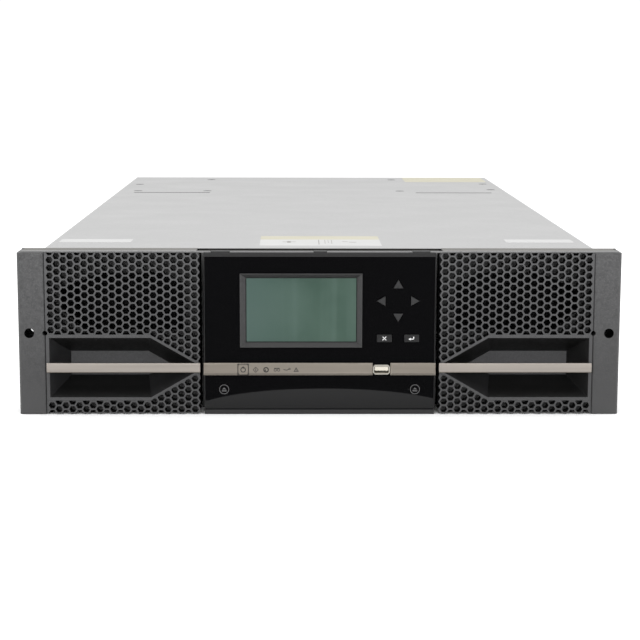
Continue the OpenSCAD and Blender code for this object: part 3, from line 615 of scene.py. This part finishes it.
class TAPELIB_OT_finishes(bpy.types.Operator):
    """Makes every finish and puts it on the solids"""

    bl_idname = "tapelib.finishes"
    bl_label = "Finishes"

    def execute(self, context):
        colours = context.scene.tapelib_colours
        # painted shade: the ear mouldings darken towards their foot
        moulded_plastic("Ear moulding", colours.moulding, 0.52, mottle=0.32, foot=0.74)
        # The last two rows are darker copies of the surround: painted shade.
        for name, share, roughness, mottle in (
            ("Panel moulding", 0.20, 0.62, 0.12),
            ("Display surround", 0.56, 0.5, 0.3),
            ("Display surround painted lower shade", 0.36, 0.55, 0.3),
            ("Display surround painted shade", 0.25, 0.5, 0.3),
        ):
            tone = [share * part for part in colours.moulding]
            moulded_plastic(name, tone, roughness, 3000.0, mottle=mottle)
        # painted shade: the honeycomb darkens towards its foot
        moulded_plastic(
            "Honeycomb moulding", colours.honeycomb, 0.42, 3400.0, 0.03 * MM, 0.04, foot=0.64
        )
        # painted shade: a near-black copy of the honeycomb for the inner walls of the cells
        moulded_plastic(
            "Cell wall painted shade", (0.011, 0.011, 0.011), 0.5, 900.0, 0.004 * MM, 0.04, shine=0.2
        )
        # painted shade: near-black for the rack holes and the ear plates behind the caps
        moulded_plastic("Bore shade", (0.002, 0.002, 0.002), 0.8, shine=0.02)
        # near-black: painted shade on the walls of the handle pockets; also the display's dark
        # joint
        moulded_plastic("Recess moulding", (0.003, 0.003, 0.003), 0.42, 2400.0, 0.04 * MM, 0.12)
        moulded_plastic("Recess side painted shade", (0.0085, 0.0085, 0.009), 0.42, 2400.0, 0.06 * MM, 0.16)
        moulded_plastic("Recess back", (0.040, 0.040, 0.042), 0.55, 2400.0, 0.08 * MM, 0.42)
        # painted light: a paler copy of the honeycomb for the backing seen through the cells
        moulded_plastic("Backing painted light", (0.15, 0.15, 0.15), 0.5, 2400.0, 0.04 * MM, 0.1)
        moulded_plastic("Inner moulding", (0.022, 0.022, 0.024), 0.5)
        moulded_plastic("Dark key", (0.024, 0.024, 0.025), 0.45, 3400.0, 0.02 * MM)
        moulded_plastic("Grey key", (0.021, 0.021, 0.022), 0.45, 3400.0, 0.02 * MM)
        moulded_plastic("Key plate", (0.0105, 0.0105, 0.011), 0.45, 3400.0, 0.02 * MM)
        moulded_plastic("Robot moulding", (0.06, 0.068, 0.08), 0.48)
        moulded_plastic("Handle moulding", (0.020, 0.022, 0.028), 0.45)
        moulded_plastic("Port shell", (0.33, 0.315, 0.28), 0.35, 3400.0, 0.01 * MM, 0.04)
        # the tongue's cream, made paler as painted light in the deep cavity of the port
        moulded_plastic("Port inside cream and painted light", (0.52, 0.49, 0.42), 0.35, 3400.0, 0.01 * MM, 0.04)
        moulded_plastic("Orange moulding", (0.62, 0.17, 0.02), 0.42, 3000.0, 0.03 * MM)
        plated_sheet("Zinc sheet", colours.zinc, 0.42, 0.55, 140.0)
        plated_sheet("Cover coat", colours.cover, 0.5, 0.15, 320.0)
        plated_sheet("Dark steel sheet", (0.028, 0.029, 0.032), 0.5, 0.4, 200.0)
        along_x = (12.0, 1500.0, 1500.0)
        satin_metal("Champagne trim", colours.champagne, 0.38, along_x, 0.55)
        # painted shade: a darker copy of the trim for the faces that look down
        under = [0.62 * part for part in colours.champagne]
        satin_metal("Trim painted shade", under, 0.45, along_x, 0.5)
        bar = [part * share for part, share in zip(colours.champagne, (1.31, 1.34, 1.42))]
        satin_metal("Champagne bar", bar, 0.42, along_x, 0.5)
        plated_sheet("Flange sheet", (0.175, 0.175, 0.175), 0.5, 0.3, 260.0)
        moulded_plastic("Foam seal", (0.035, 0.033, 0.030), 0.8, 900.0, 0.2 * MM, 0.2)
        # painted shade: a dark sheet for the countersinks and pressed lines of the cover
        plated_sheet("Cover painted shade", (0.060, 0.060, 0.060), 0.55, 0.1, 260.0)
        # painted shade: a darkened steel for the cover screws, standing in for the shade of their
        # countersinks
        satin_metal("Screw steel painted shade", (0.13, 0.13, 0.13), 0.45, (500.0, 60.0, 900.0), 0.6)
        # painted shade: the dark band on the lip's channel
        plated_sheet("Lip channel painted shade", (0.100, 0.096, 0.088), 0.6, 0.0, 260.0)
        satin_metal("Nickel plate", (0.72, 0.70, 0.66), 0.24, (500.0, 60.0, 900.0), 0.9)
        satin_metal("Milled aluminium", (0.62, 0.63, 0.64), 0.32, (900.0, 18.0, 900.0), 0.85)
        polished_plastic("Green lens", (0.045, 0.19, 0.06), 0.18)
        polished_plastic("Amber lens", (0.42, 0.17, 0.02), 0.18)
        polished_plastic("Polished black", (0.0030, 0.0030, 0.0033), 0.03)
        display_face("Display face", colours.display)
        coated_board("Circuit board")
        label_film("White label", (0.44, 0.44, 0.438))
        label_film("Yellow label", colours.label_band)
        ink("Dark ink", (0.020, 0.017, 0.015))
        ink("Label ink", (0.20, 0.19, 0.18))
        ink("White ink", (0.80, 0.80, 0.80))
        ink("Grey ink", (0.068, 0.068, 0.068))
        for node, solid in frame["nodes"].items():
            finish = bpy.data.materials[FINISH_OF[SLOT_OF[node]]]
            for place in solid.material_slots:
                place.material = finish
        # painted shade: the cover screws take the darkened steel
        for place in frame["nodes"]["cover_screws"].material_slots:
            place.material = bpy.data.materials["Screw steel painted shade"]
        return {"FINISHED"}


# ---------- pieces ----------


class TAPELIB_OT_mouldings(bpy.types.Operator):
    """Rolls the edges of the ears, panel, keys and trim"""

    bl_idname = "tapelib.mouldings"
    bl_label = "Front mouldings"

    def ear(self, side, width):
        """The rack hole has painted shade inside."""
        piece = rolled_copy(side + "_ear_cap", width, 3)
        low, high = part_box(side + "_ear_cap")
        margin = 3 * MM
        skin = low.y + 1 * MM

        def in_bore(face):
            x, y, z = face.center
            across = low.x + margin < x < high.x - margin
            upright = low.z + margin < z < high.z - margin
            return across and upright and (abs(face.normal.y) < 0.3 or y > skin)

        dress_faces(piece, "Bore shade", in_bore)

    def pocket(self, side, width):
        """The rim matches the honeycomb. The walls are near-black and the side walls a little
        lighter, both painted shade; the back face is paler.
        """
        piece = rolled_copy(side + "_handle_pocket", width, 2, 15)
        rim = FRONT_Y + 1 * MM

        def faces_front(face):
            return face.normal.y < -0.9

        def lit_wall(face):
            slanted_floor = face.normal.z > 0 and abs(face.normal.x) > 0.2
            return not faces_front(face) and (abs(face.normal.x) > 0.9 or slanted_floor)

        dress_faces(
            piece, "Honeycomb moulding", lambda face: faces_front(face) and face.center.y < rim
        )
        dress_faces(piece, "Recess back", lambda face: faces_front(face) and face.center.y >= rim)
        dress_faces(piece, "Recess side painted shade", lit_wall)

    def backing(self, side, width):
        """Its front face takes a paler copy of the honeycomb plastic, painted light that shows
        through the cells; the rest stays dark.
        """
        piece = rolled_copy(side + "_bezel_backing", width, 1, 60)
        skin = FRONT_Y + 12 * MM
        dress_faces(
            piece, "Backing painted light", lambda face: face.normal.y < -0.9 and face.center.y < skin
        )

    def shaded(self, node, width, finish, underside):
        """The faces that look down get a darker finish: painted shade."""
        piece = rolled_copy(node, width, 2, 20, finish)
        dress_faces(piece, underside, lambda face: face.normal.z < -0.2)
        return piece

    def surround(self, width):
        """The display's surround gets painted shade on the faces that look down, on its lower
        slope and at its foot.
        """
        piece = self.shaded("display_frame", width, "Display surround", "Display surround painted shade")
        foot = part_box("display_frame")[0].z + 3 * MM

        def lower_slope(face):
            return face.normal.z > 0.2 or face.center.z < foot and face.normal.y < -0.5

        dress_faces(piece, "Display surround painted lower shade", lower_slope)

    def port(self, width):
        """Inside its shell the data port is pale: the tongue's own cream, and painted light in the
        deep cavity.
        """
        piece = rolled_copy("usb_port", width, 2, 50, "Port shell")
        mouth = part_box("usb_port")[0].y + 0.4 * MM
        dress_faces(piece, "Port inside cream and painted light", lambda face: face.center.y > mouth)

    def execute(self, context):
        width = context.scene.tapelib_sizes.moulding_edge
        for side in ("left", "right"):
            self.ear(side, width)
            self.shaded(side + "_handle_bar", width * 0.6, "Champagne bar", "Trim painted shade")
            self.pocket(side, width * 0.5)
            rolled_copy(side + "_release_button", width * 0.5)
            self.backing(side, width * 0.5)
        rolled_copy("panel_housing", width * 0.8)
        rolled_copy("fascia", width * 0.6)
        self.surround(width * 0.4)
        self.shaded("trim_strip", width * 0.2, "Champagne trim", "Trim painted shade")
        self.port(width * 0.3)
        for key in ("up", "down", "left", "right", "power"):
            rolled_copy(key + "_key", width * 0.5)
        for key in ("cancel", "enter"):
            rolled_copy(key + "_key", width * 0.5, finish="Key plate")
        return {"FINISHED"}


class TAPELIB_OT_bezels(bpy.types.Operator):
    """Rolls the front edges of the honeycomb bezels and paints shade on the walls of the cells"""

    bl_idname = "tapelib.bezels"
    bl_label = "Honeycomb bezels"

    def execute(self, context):
        width = context.scene.tapelib_sizes.comb_edge
        for side in ("left", "right"):
            piece = rolled_copy(side + "_bezel", width, 1, 75)
            low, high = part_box(side + "_bezel")
            foot, top = low.z + 0.1 * MM, high.z - 0.1 * MM
            # painted shade on the inner walls of the cells
            dress_faces(
                piece,
                "Cell wall painted shade",
                lambda face: foot < face.center.z < top and abs(face.normal.y) < 0.2,
            )
        return {"FINISHED"}


class TAPELIB_OT_sheets(bpy.types.Operator):
    """Breaks the edges of the case, bays and rear units"""

    bl_idname = "tapelib.sheets"
    bl_label = "Case and rear units"

    def unit(self, node, width):
        """A plug-in unit with dark handle and screws behind its plate."""
        piece = rolled_copy(node, width, 2, 50)
        plate = BACK_Y + 1.75 * MM
        dress_faces(piece, "Handle moulding", lambda face: face.center.y > plate)
        return piece

    def supply(self, node, width):
        """A power supply has a black inlet with bright blades and an orange latch too."""
        piece = self.unit(node, width)
        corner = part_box(node)[0]
        blade_middles = (12.5 * MM, 18.5 * MM, 24.5 * MM)
        inlet_floor, inlet_mouth = BACK_Y - 17 * MM, BACK_Y + 0.9 * MM
        latch_skin = BACK_Y + 1.3 * MM

        def in_inlet(face):
            place = face.center - corner
            within = 4.6 * MM < place.x < 32.4 * MM and 8.6 * MM < place.z < 29.4 * MM
            return within and inlet_floor < face.center.y < inlet_mouth

        def on_blade(face):
            places = [piece.data.vertices[index].co - corner for index in face.vertices]
            level = all(15.8 * MM < place.z < 24.2 * MM for place in places)
            return level and any(
                all(abs(place.x - middle) < 1.2 * MM for place in places)
                for middle in blade_middles
            )

        def on_latch(face):
            return face.center.y > latch_skin and face.center.z - corner.z > 31 * MM

        dress_faces(piece, "Inner moulding", in_inlet)
        dress_faces(piece, "Nickel plate", lambda face: in_inlet(face) and on_blade(face))
        dress_faces(piece, "Orange moulding", on_latch)

    def cover(self, width):
        """The countersinks and pressed lines in the cover get painted shade."""
        piece = rolled_copy("top_cover", width * 1.5, 2, 60)
        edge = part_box("top_cover")[1].x - 3 * MM
        bottom, skin = ROOF_Z - 0.85 * MM, ROOF_Z - 0.05 * MM
        near, far = FRONT_Y + 500 * MM, BACK_Y - 5 * MM

        def sunk(face):
            x, y, z = face.center
            return bottom < z < skin and abs(x) < edge and near < y < far

        dress_faces(piece, "Cover painted shade", sunk)

    def seal(self):
        """A foam seal closes the slit between the panel's bridge and the cover."""
        place = (0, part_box("top_cover")[0].y + 1.4 * MM, ROOF_Z - 2.6 * MM)
        foam = rolled_block((196 * MM, 2.0 * MM, 3.6 * MM), place, 0.5 * MM, 3)
        finish_piece(foam, "cover_seal", "chassis", "cover_paint", "Foam seal")

    def pressed_line(self, side, x):
        """A low dark bead along a pressed line of the cover: a painted shadow of the line."""
        place = (x, FRONT_Y + 592.6 * MM, ROOF_Z - 0.05 * MM)
        bead = rolled_block((86.6 * MM, 1.0 * MM, 0.8 * MM), place, 0.2 * MM, 2)
        finish_piece(bead, side + "_cover_line", "chassis", "cover_paint", "Cover painted shade")

    def controller(self, width):
        """The sockets on the card are dark inside."""
        piece = self.unit("library_controller", width)
        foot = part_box("library_controller")[0].z + 8.4 * MM
        deep, mouth = BACK_Y - 25 * MM, BACK_Y - 0.3 * MM
        dress_faces(
            piece,
            "Inner moulding",
            lambda face: face.center.z > foot and deep < face.center.y < mouth,
        )

    def flange(self, width):
        """Painted shade lies on the lip's channel, and painted shade darkens the ear plates behind
        their caps.
        """
        piece = rolled_copy("front_flange", width, 2, 60, "Flange sheet")
        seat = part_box("front_flange")[1].z - 0.8 * MM
        cap_edge = 219 * MM

        def on_lip(face):
            return seat - 1 * MM < face.center.z < seat + 0.2 * MM and face.normal.z > 0.5

        def behind_cap(face):
            return abs(face.center.x) > cap_edge and face.normal.y < 0.5 and not on_lip(face)

        # painted shade on the lip's channel
        dress_faces(piece, "Lip channel painted shade", on_lip)
        dress_faces(piece, "Bore shade", behind_cap)

    def execute(self, context):
        width = context.scene.tapelib_sizes.sheet_edge
        self.flange(width)
        rolled_copy("base_tray", width, 2, 60)
        rolled_copy("rear_panel", width, 2, 60)
        self.cover(width)
        self.seal()
        self.pressed_line("left", -161 * MM)
        self.pressed_line("right", 161 * MM)
        for number in ("1", "2", "3"):
            self.unit("drive_" + number + "_sled", width)
        self.controller(width)
        for number in ("1", "2"):
            self.supply("power_supply_" + number, width)
        return {"FINISHED"}


class TAPELIB_OT_lamps(bpy.types.Operator):
    """Sets small unlit status lamps in the plates of the rear units"""

    bl_idname = "tapelib.lamps"
    bl_label = "Status lamps"

    def lens(self):
        """One lamp round the origin: a dark collar with a domed lens that faces back."""
        clear_selection()
        bpy.ops.mesh.primitive_cylinder_add(
            vertices=20, radius=1.4 * MM, depth=0.6 * MM, rotation=(math.radians(-90), 0, 0)
        )
        lamp = bpy.context.object
        apply_place()
        bpy.ops.object.mode_set(mode="EDIT")
        bpy.ops.mesh.select_mode(type="FACE")
        bpy.ops.mesh.select_all(action="DESELECT")
        bpy.ops.object.mode_set(mode="OBJECT")
        for face in lamp.data.polygons:
            face.select = face.normal.y > 0.9
        bpy.ops.object.mode_set(mode="EDIT")
        bpy.ops.mesh.inset(thickness=0.4 * MM)
        for rise, taper in ((0.25, 0.85), (0.15, 0.6)):
            bpy.ops.mesh.extrude_region_move(TRANSFORM_OT_translate={"value": (0, rise * MM, 0)})
            bpy.ops.transform.resize(value=(taper, 1, taper), center_override=(0, 0, 0))
        bpy.ops.object.mode_set(mode="OBJECT")
        collar = 0.35 * MM
        for face in lamp.data.polygons:
            face.material_index = int(face.center.y > collar)
        return lamp

    def copies(self, lamp, node, plate_y, height, *across):
        """Copies the lamp to places measured from the low corner of a unit."""
        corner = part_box(node)[0]
        for number, step in enumerate(across, 1):
            piece = bpy.data.objects.new(node + "_lamp", lamp.data.copy())
            bpy.context.scene.collection.objects.link(piece)
            piece.location = (corner.x + step * MM, plate_y, corner.z + height * MM)
            lens = "Amber lens" if number == 3 else "Green lens"
            name = node + "_lamp_" + str(number)
            finish_piece(piece, name, BODY_OF[node], SLOT_OF[node], "Inner moulding", lens)

    def execute(self, context):
        lamp = self.lens()
        for number in ("1", "2", "3"):
            node = "drive_" + number + "_sled"
            self.copies(lamp, node, BACK_Y + 1.6 * MM, 31, 121, 127, 133)
        for number in ("1", "2"):
            self.copies(lamp, "power_supply_" + number, BACK_Y + 1 * MM, 34.4, 8, 14)
        self.copies(lamp, "library_controller", BACK_Y + 1.2 * MM, 15, 92, 98, 104)
        bpy.data.objects.remove(lamp)
        return {"FINISHED"}


class TAPELIB_OT_robot(bpy.types.Operator):
    """Breaks the edges of the picker robot and its lift"""

    bl_idname = "tapelib.robot"
    bl_label = "Picker robot"

    def execute(self, context):
        width = context.scene.tapelib_sizes.moulding_edge
        for node in ("lift_frame", "picker_carriage", "picker_turntable", "picker_gripper"):
            rolled_copy(node, width, 2, 50)
        return {"FINISHED"}


class TAPELIB_OT_labels(bpy.types.Operator):
    """Lays the blank labels on the top cover"""

    bl_idname = "tapelib.labels"
    bl_label = "Blank labels"

    def lines(self):
        """A few plain lines stand for the pictures on the front label."""
        sizes = bpy.context.scene.tapelib_sizes
        seat = ROOF_Z + sizes.label_thickness
        rules = (
            (-0.3, 0.4, 58.0, 93.0),
            (5.0, 5.5, 64.0, 92.0),
            (7.8, 8.2, 70.0, 92.0),
            (10.6, 11.1, 64.0, 92.0),
            (-30.5, -26.5, 77.0, 79.0),
            (-26.5, -23.5, 72.0, 83.0),
            (-23.5, -19.5, 77.0, 79.0),
            (20.0, 24.5, 78.5, 80.5),
            (25.5, 31.5, 74.0, 76.5),
        )
        parts = [
            flat_patch("rule", *rule, seat, sizes.print_thickness, 0.15 * MM) for rule in rules
        ]
        lines = join_pieces(parts)
        finish_piece(lines, "front_label_lines", "chassis", "cover_paint", "Label ink")

    def lay(self, name, place, *finishes):
        """Lays a label in one finish, or in two that meet in a line across it."""
        sizes = bpy.context.scene.tapelib_sizes
        patch = flat_patch(name, *place, ROOF_Z, sizes.label_thickness, sizes.label_corner)
        if len(finishes) > 1:
            split_y = FRONT_Y + 95.8 * MM
            edit_all()
            bpy.ops.mesh.bisect(plane_co=(0, split_y, 0), plane_no=(0, 1, 0))
            bpy.ops.object.mode_set(mode="OBJECT")
            for face in patch.data.polygons:
                face.material_index = int(face.center.y > split_y)
        finish_piece(patch, name, "chassis", "cover_paint", *finishes)

    def execute(self, context):
        self.lay("front_label", (-49.3, 51.8, 48.4, 123.0), "White label", "Yellow label")
        self.lay("front_left_label", (-218.0, -157.5, 74.0, 97.8), "White label")
        self.lay("front_right_label", (158.0, 215.0, 74.0, 97.8), "White label")
        self.lay("rear_right_label", (116.0, 217.0, 760.0, 833.0), "Yellow label")
        self.lines()
        return {"FINISHED"}


class TAPELIB_OT_marks(bpy.types.Operator):
    """Prints the plain symbols on the strip, keys and release buttons"""

    bl_idname = "tapelib.marks"
    bl_label = "Printed symbols"

    def key_marks(self):
        """A cross on the cancel key and a bent arrow on the enter key."""
        spot = front_centre("cancel_key")
        cross = join_pieces([printed_bar(spot, 0, 0, 4.0, 0.45, turn) for turn in (45, -45)])
        finish_piece(cross, "cancel_cross", BODY_OF["cancel_key"], "key_grey", "White ink")
        spot = front_centre("enter_key")
        parts = [
            printed_bar(spot, 0.3, -0.5, 3.0, 0.55),
            printed_bar(spot, 1.6, 0.3, 0.55, 2.1),
            printed_triangle(spot, -1.4, -0.5, 1.1, turn=-90),
        ]
        arrow = join_pieces(parts)
        finish_piece(arrow, "enter_arrow", BODY_OF["enter_key"], "key_grey", "White ink")

    def screen_edge(self):
        """A dark joint runs round the display."""
        spot = (0, FRONT_Y + 2.6 * MM, 0)
        line = 0.55
        left, right, foot, top = -59.3, 29.8, 58.7, 111.1
        x, z = (left + right) / 2, (foot + top) / 2
        parts = [
            printed_bar(spot, x, foot + line / 2, right - left, line),
            printed_bar(spot, x, top - line / 2, right - left, line),
            printed_bar(spot, left + line / 2, z, line, top - foot - 2 * line),
            printed_bar(spot, right - line / 2, z, line, top - foot - 2 * line),
        ]
        edge = join_pieces(parts)
        finish_piece(edge, "display_joint", "chassis", "frame_plastic", "Recess moulding")

    def power_mark(self):
        """A ring and a bar on the power key, and a square line round it."""
        spot = front_centre("power_key")
        parts = [printed_ring(spot, 0, -0.2, 2.2, 0.7), printed_bar(spot, 0, 1.6, 0.7, 1.9)]
        mark = join_pieces(parts)
        finish_piece(mark, "power_symbol", BODY_OF["power_key"], "champagne_metal", "Dark ink")
        on_strip = (spot[0], STRIP_Y, spot[2])
        surround = printed_ring(on_strip, 0, 0, 6.5, 0.4, 4, 45)
        finish_piece(surround, "power_key_surround", "chassis", "champagne_metal", "Dark ink")

    def strip_marks(self):
        """Plain status symbols in a row: diamond, disc, tape, plug and triangle."""
        spot = (0, STRIP_Y, 37.0 * MM)
        parts = [
            printed_ring(spot, -51.4, 0, 2.4, 0.45, 4),
            printed_bar(spot, -51.4, 0, 0.55, 2.0),
            printed_ring(spot, -43.1, 0, 2.25, 0.95),
            printed_bar(spot, -43.6, -0.4, 0.8, 1.5, 20),
            printed_ring(spot, -35.7, -0.2, 1.2, 0.45),
            printed_ring(spot, -33.1, -0.2, 1.2, 0.45),
            printed_bar(spot, -34.4, 1.2, 4.6, 0.5),
            printed_bar(spot, -27.8, -0.1, 2.6, 0.55, 12),
            printed_bar(spot, -25.6, 0.1, 2.2, 0.55, -30),
            printed_ring(spot, -24.2, 0.7, 0.8, 0.4),
            printed_ring(spot, -18.9, -0.4, 2.45, 0.5, 3),
            printed_bar(spot, -18.9, -0.3, 0.5, 1.4),
        ]
        marks = join_pieces(parts)
        finish_piece(marks, "strip_symbols", "chassis", "champagne_metal", "Dark ink")

    def release_marks(self, side):
        """A ring with the usual sign for letting go: a triangle over a bar."""
        spot = front_centre(side + "_release_button")
        parts = [
            printed_ring(spot, 0, 0, 3.95, 0.5),
            printed_triangle(spot, 0, 0.45, 1.3, (1.55, 0.85)),
            printed_bar(spot, 0, -1.25, 3.8, 0.95),
        ]
        mark = join_pieces(parts)
        body = BODY_OF[side + "_release_button"]
        finish_piece(mark, side + "_release_symbol", body, "key_dark", "Grey ink")

    def execute(self, context):
        self.screen_edge()
        self.key_marks()
        self.power_mark()
        self.strip_marks()
        for side in ("left", "right"):
            self.release_marks(side)
        return {"FINISHED"}


# ---------- studio ----------


class TAPELIB_OT_studio(bpy.types.Operator):
    """Sets up the floor, soft light and camera"""

    bl_idname = "tapelib.studio"
    bl_label = "Studio"

    def floor_material(self):
        """White paper with the faintest clouding."""
        recipe = Recipe("Studio floor", (0.97, 0.97, 0.97), 0.9, specular=0.1)
        cloud = recipe.noise(1.2, 2.0)
        recipe.paint(recipe.mottle(cloud, 0.995, 1.0))
        return recipe.material

    def set_up(self, name, size, material):
        """Sizes and finishes the active flat primitive as a piece of the stage."""
        piece = bpy.context.object
        piece.name = name
        piece.scale = (*size, 1)
        apply_place()
        piece.data.materials.append(material)
        return piece

    def sheet(self, name, size, location, material, tilt=0.0):
        """A flat sheet, lying down or tilted up."""
        clear_selection()
        turn = (math.radians(tilt), 0, 0)
        bpy.ops.mesh.primitive_plane_add(size=1, location=location, rotation=turn)
        return self.set_up(name, size, material)

    def near_arc(self, material):
        """A low arch in front of the panel that the fascia mirrors."""
        clear_selection()
        place = (0.005, FRONT_Y - 0.010, 0.1 * MM)
        bpy.ops.mesh.primitive_circle_add(
            vertices=96, radius=1, fill_type="NGON", location=place
        )
        self.set_up("near_arc", (0.110, 0.095), material)

    def softbox(self, name, location, target, size, power):
        """A soft rectangular light, aimed at a point and hidden from the camera."""
        light = bpy.data.lights.new(name, "AREA")
        light.shape = "RECTANGLE"
        light.size, light.size_y = size
        light.energy = power
        lamp = bpy.data.objects.new(name, light)
        bpy.context.scene.collection.objects.link(lamp)
        lamp.location = location
        aim = Vector(target) - Vector(location)
        lamp.rotation_euler = aim.to_track_quat("-Z", "Y").to_euler()
        lamp.visible_camera = False

    def camera(self):
        """A camera a little above the panel, with a long lens."""
        camera = bpy.data.cameras.new("Camera")
        camera.lens = 94.74
        camera.sensor_width = 36.0
        eye = bpy.data.objects.new("Camera", camera)
        bpy.context.scene.collection.objects.link(eye)
        eye.location = (-0.01849, FRONT_Y - 1.33274, 0.28638)
        eye.rotation_euler = [math.radians(turn) for turn in (81.079, -0.1415, -0.780)]
        bpy.context.scene.camera = eye

    def execute(self, context):
        floor = self.floor_material()
        side = context.scene.tapelib_sizes.floor_size
        wide = self.sheet("studio_floor", (side, side), (0, 0, 0), floor)
        wide.visible_glossy = False
        near_centre = (0, FRONT_Y + 0.946, 0.05 * MM)
        self.sheet("near_floor", (2.4, 2.0), near_centre, floor)
        self.near_arc(floor)
        black = Recipe("Black card", (0.004, 0.004, 0.004), 0.95, specular=0.0)
        black.paint(black.mottle(black.noise(3.0), 0.9, 1.1))
        card = self.sheet("black_card", (5.0, 3.6), (0, -3.2, 0.2), black.material, 90)
        card.visible_camera = False
        card.visible_diffuse = False
        card.visible_shadow = False
        self.softbox("top_softbox", (0, -0.1, 1.9), (0, 0, 0), (2.2, 2.4), 26.0)
        for name, x, power in (("left_softbox", -1.9, 4.0), ("right_softbox", 1.9, 3.0)):
            self.softbox(name, (x, -1.5, 1.3), (0, -0.2, 0.1), (1.2, 1.6), power)
        for name, x in (("front_left_softbox", -0.8), ("front_right_softbox", 0.8)):
            self.softbox(name, (x, -2.4, 0.65), (0, 0, 0.1), (0.6, 0.8), 11.0)

        world = bpy.data.worlds.new("Studio")
        world.use_nodes = True
        sky = world.node_tree.nodes["Background"].inputs
        sky["Color"].default_value = (1, 1, 1, 1)
        sky["Strength"].default_value = 1.06
        context.scene.world = world
        context.scene.view_settings.view_transform = "Standard"
        self.camera()
        return {"FINISHED"}


# ---------- add-on ----------


class TAPELIB_PT_panel(bpy.types.Panel):
    """Sidebar panel of the tape library"""

    bl_idname = "TAPELIB_PT_panel"
    bl_label = "Tape library"
    bl_space_type = "VIEW_3D"
    bl_region_type = "UI"
    bl_category = "Tape library"

    def draw(self, context):
        layout = self.layout
        for group in (context.scene.tapelib_colours, context.scene.tapelib_sizes):
            column = layout.column(align=True)
            for name in group.__annotations__:
                column.prop(group, name)
        column = layout.column(align=True)
        for step in STEPS:
            column.operator(step.bl_idname)


STEPS = (
    TAPELIB_OT_finishes,
    TAPELIB_OT_mouldings,
    TAPELIB_OT_bezels,
    TAPELIB_OT_sheets,
    TAPELIB_OT_lamps,
    TAPELIB_OT_robot,
    TAPELIB_OT_labels,
    TAPELIB_OT_marks,
    TAPELIB_OT_studio,
)
CLASSES = (TAPELIB_PG_colours, TAPELIB_PG_sizes, *STEPS, TAPELIB_PT_panel)


def register():
    """Registers the classes and the two groups of settings."""
    for cls in CLASSES:
        bpy.utils.register_class(cls)
    bpy.types.Scene.tapelib_colours = bpy.props.PointerProperty(type=TAPELIB_PG_colours)
    bpy.types.Scene.tapelib_sizes = bpy.props.PointerProperty(type=TAPELIB_PG_sizes)


def unregister():
    """Takes away what register added."""
    del bpy.types.Scene.tapelib_sizes
    del bpy.types.Scene.tapelib_colours
    for cls in reversed(CLASSES):
        bpy.utils.unregister_class(cls)


def main():
    """Makes the whole dressed model."""
    register()
    bpy.ops.tapelib.finishes()
    bpy.ops.tapelib.mouldings()
    bpy.ops.tapelib.bezels()
    bpy.ops.tapelib.sheets()
    bpy.ops.tapelib.lamps()
    bpy.ops.tapelib.robot()
    bpy.ops.tapelib.labels()
    bpy.ops.tapelib.marks()
    bpy.ops.tapelib.studio()


if __name__ == "__main__":
    main()
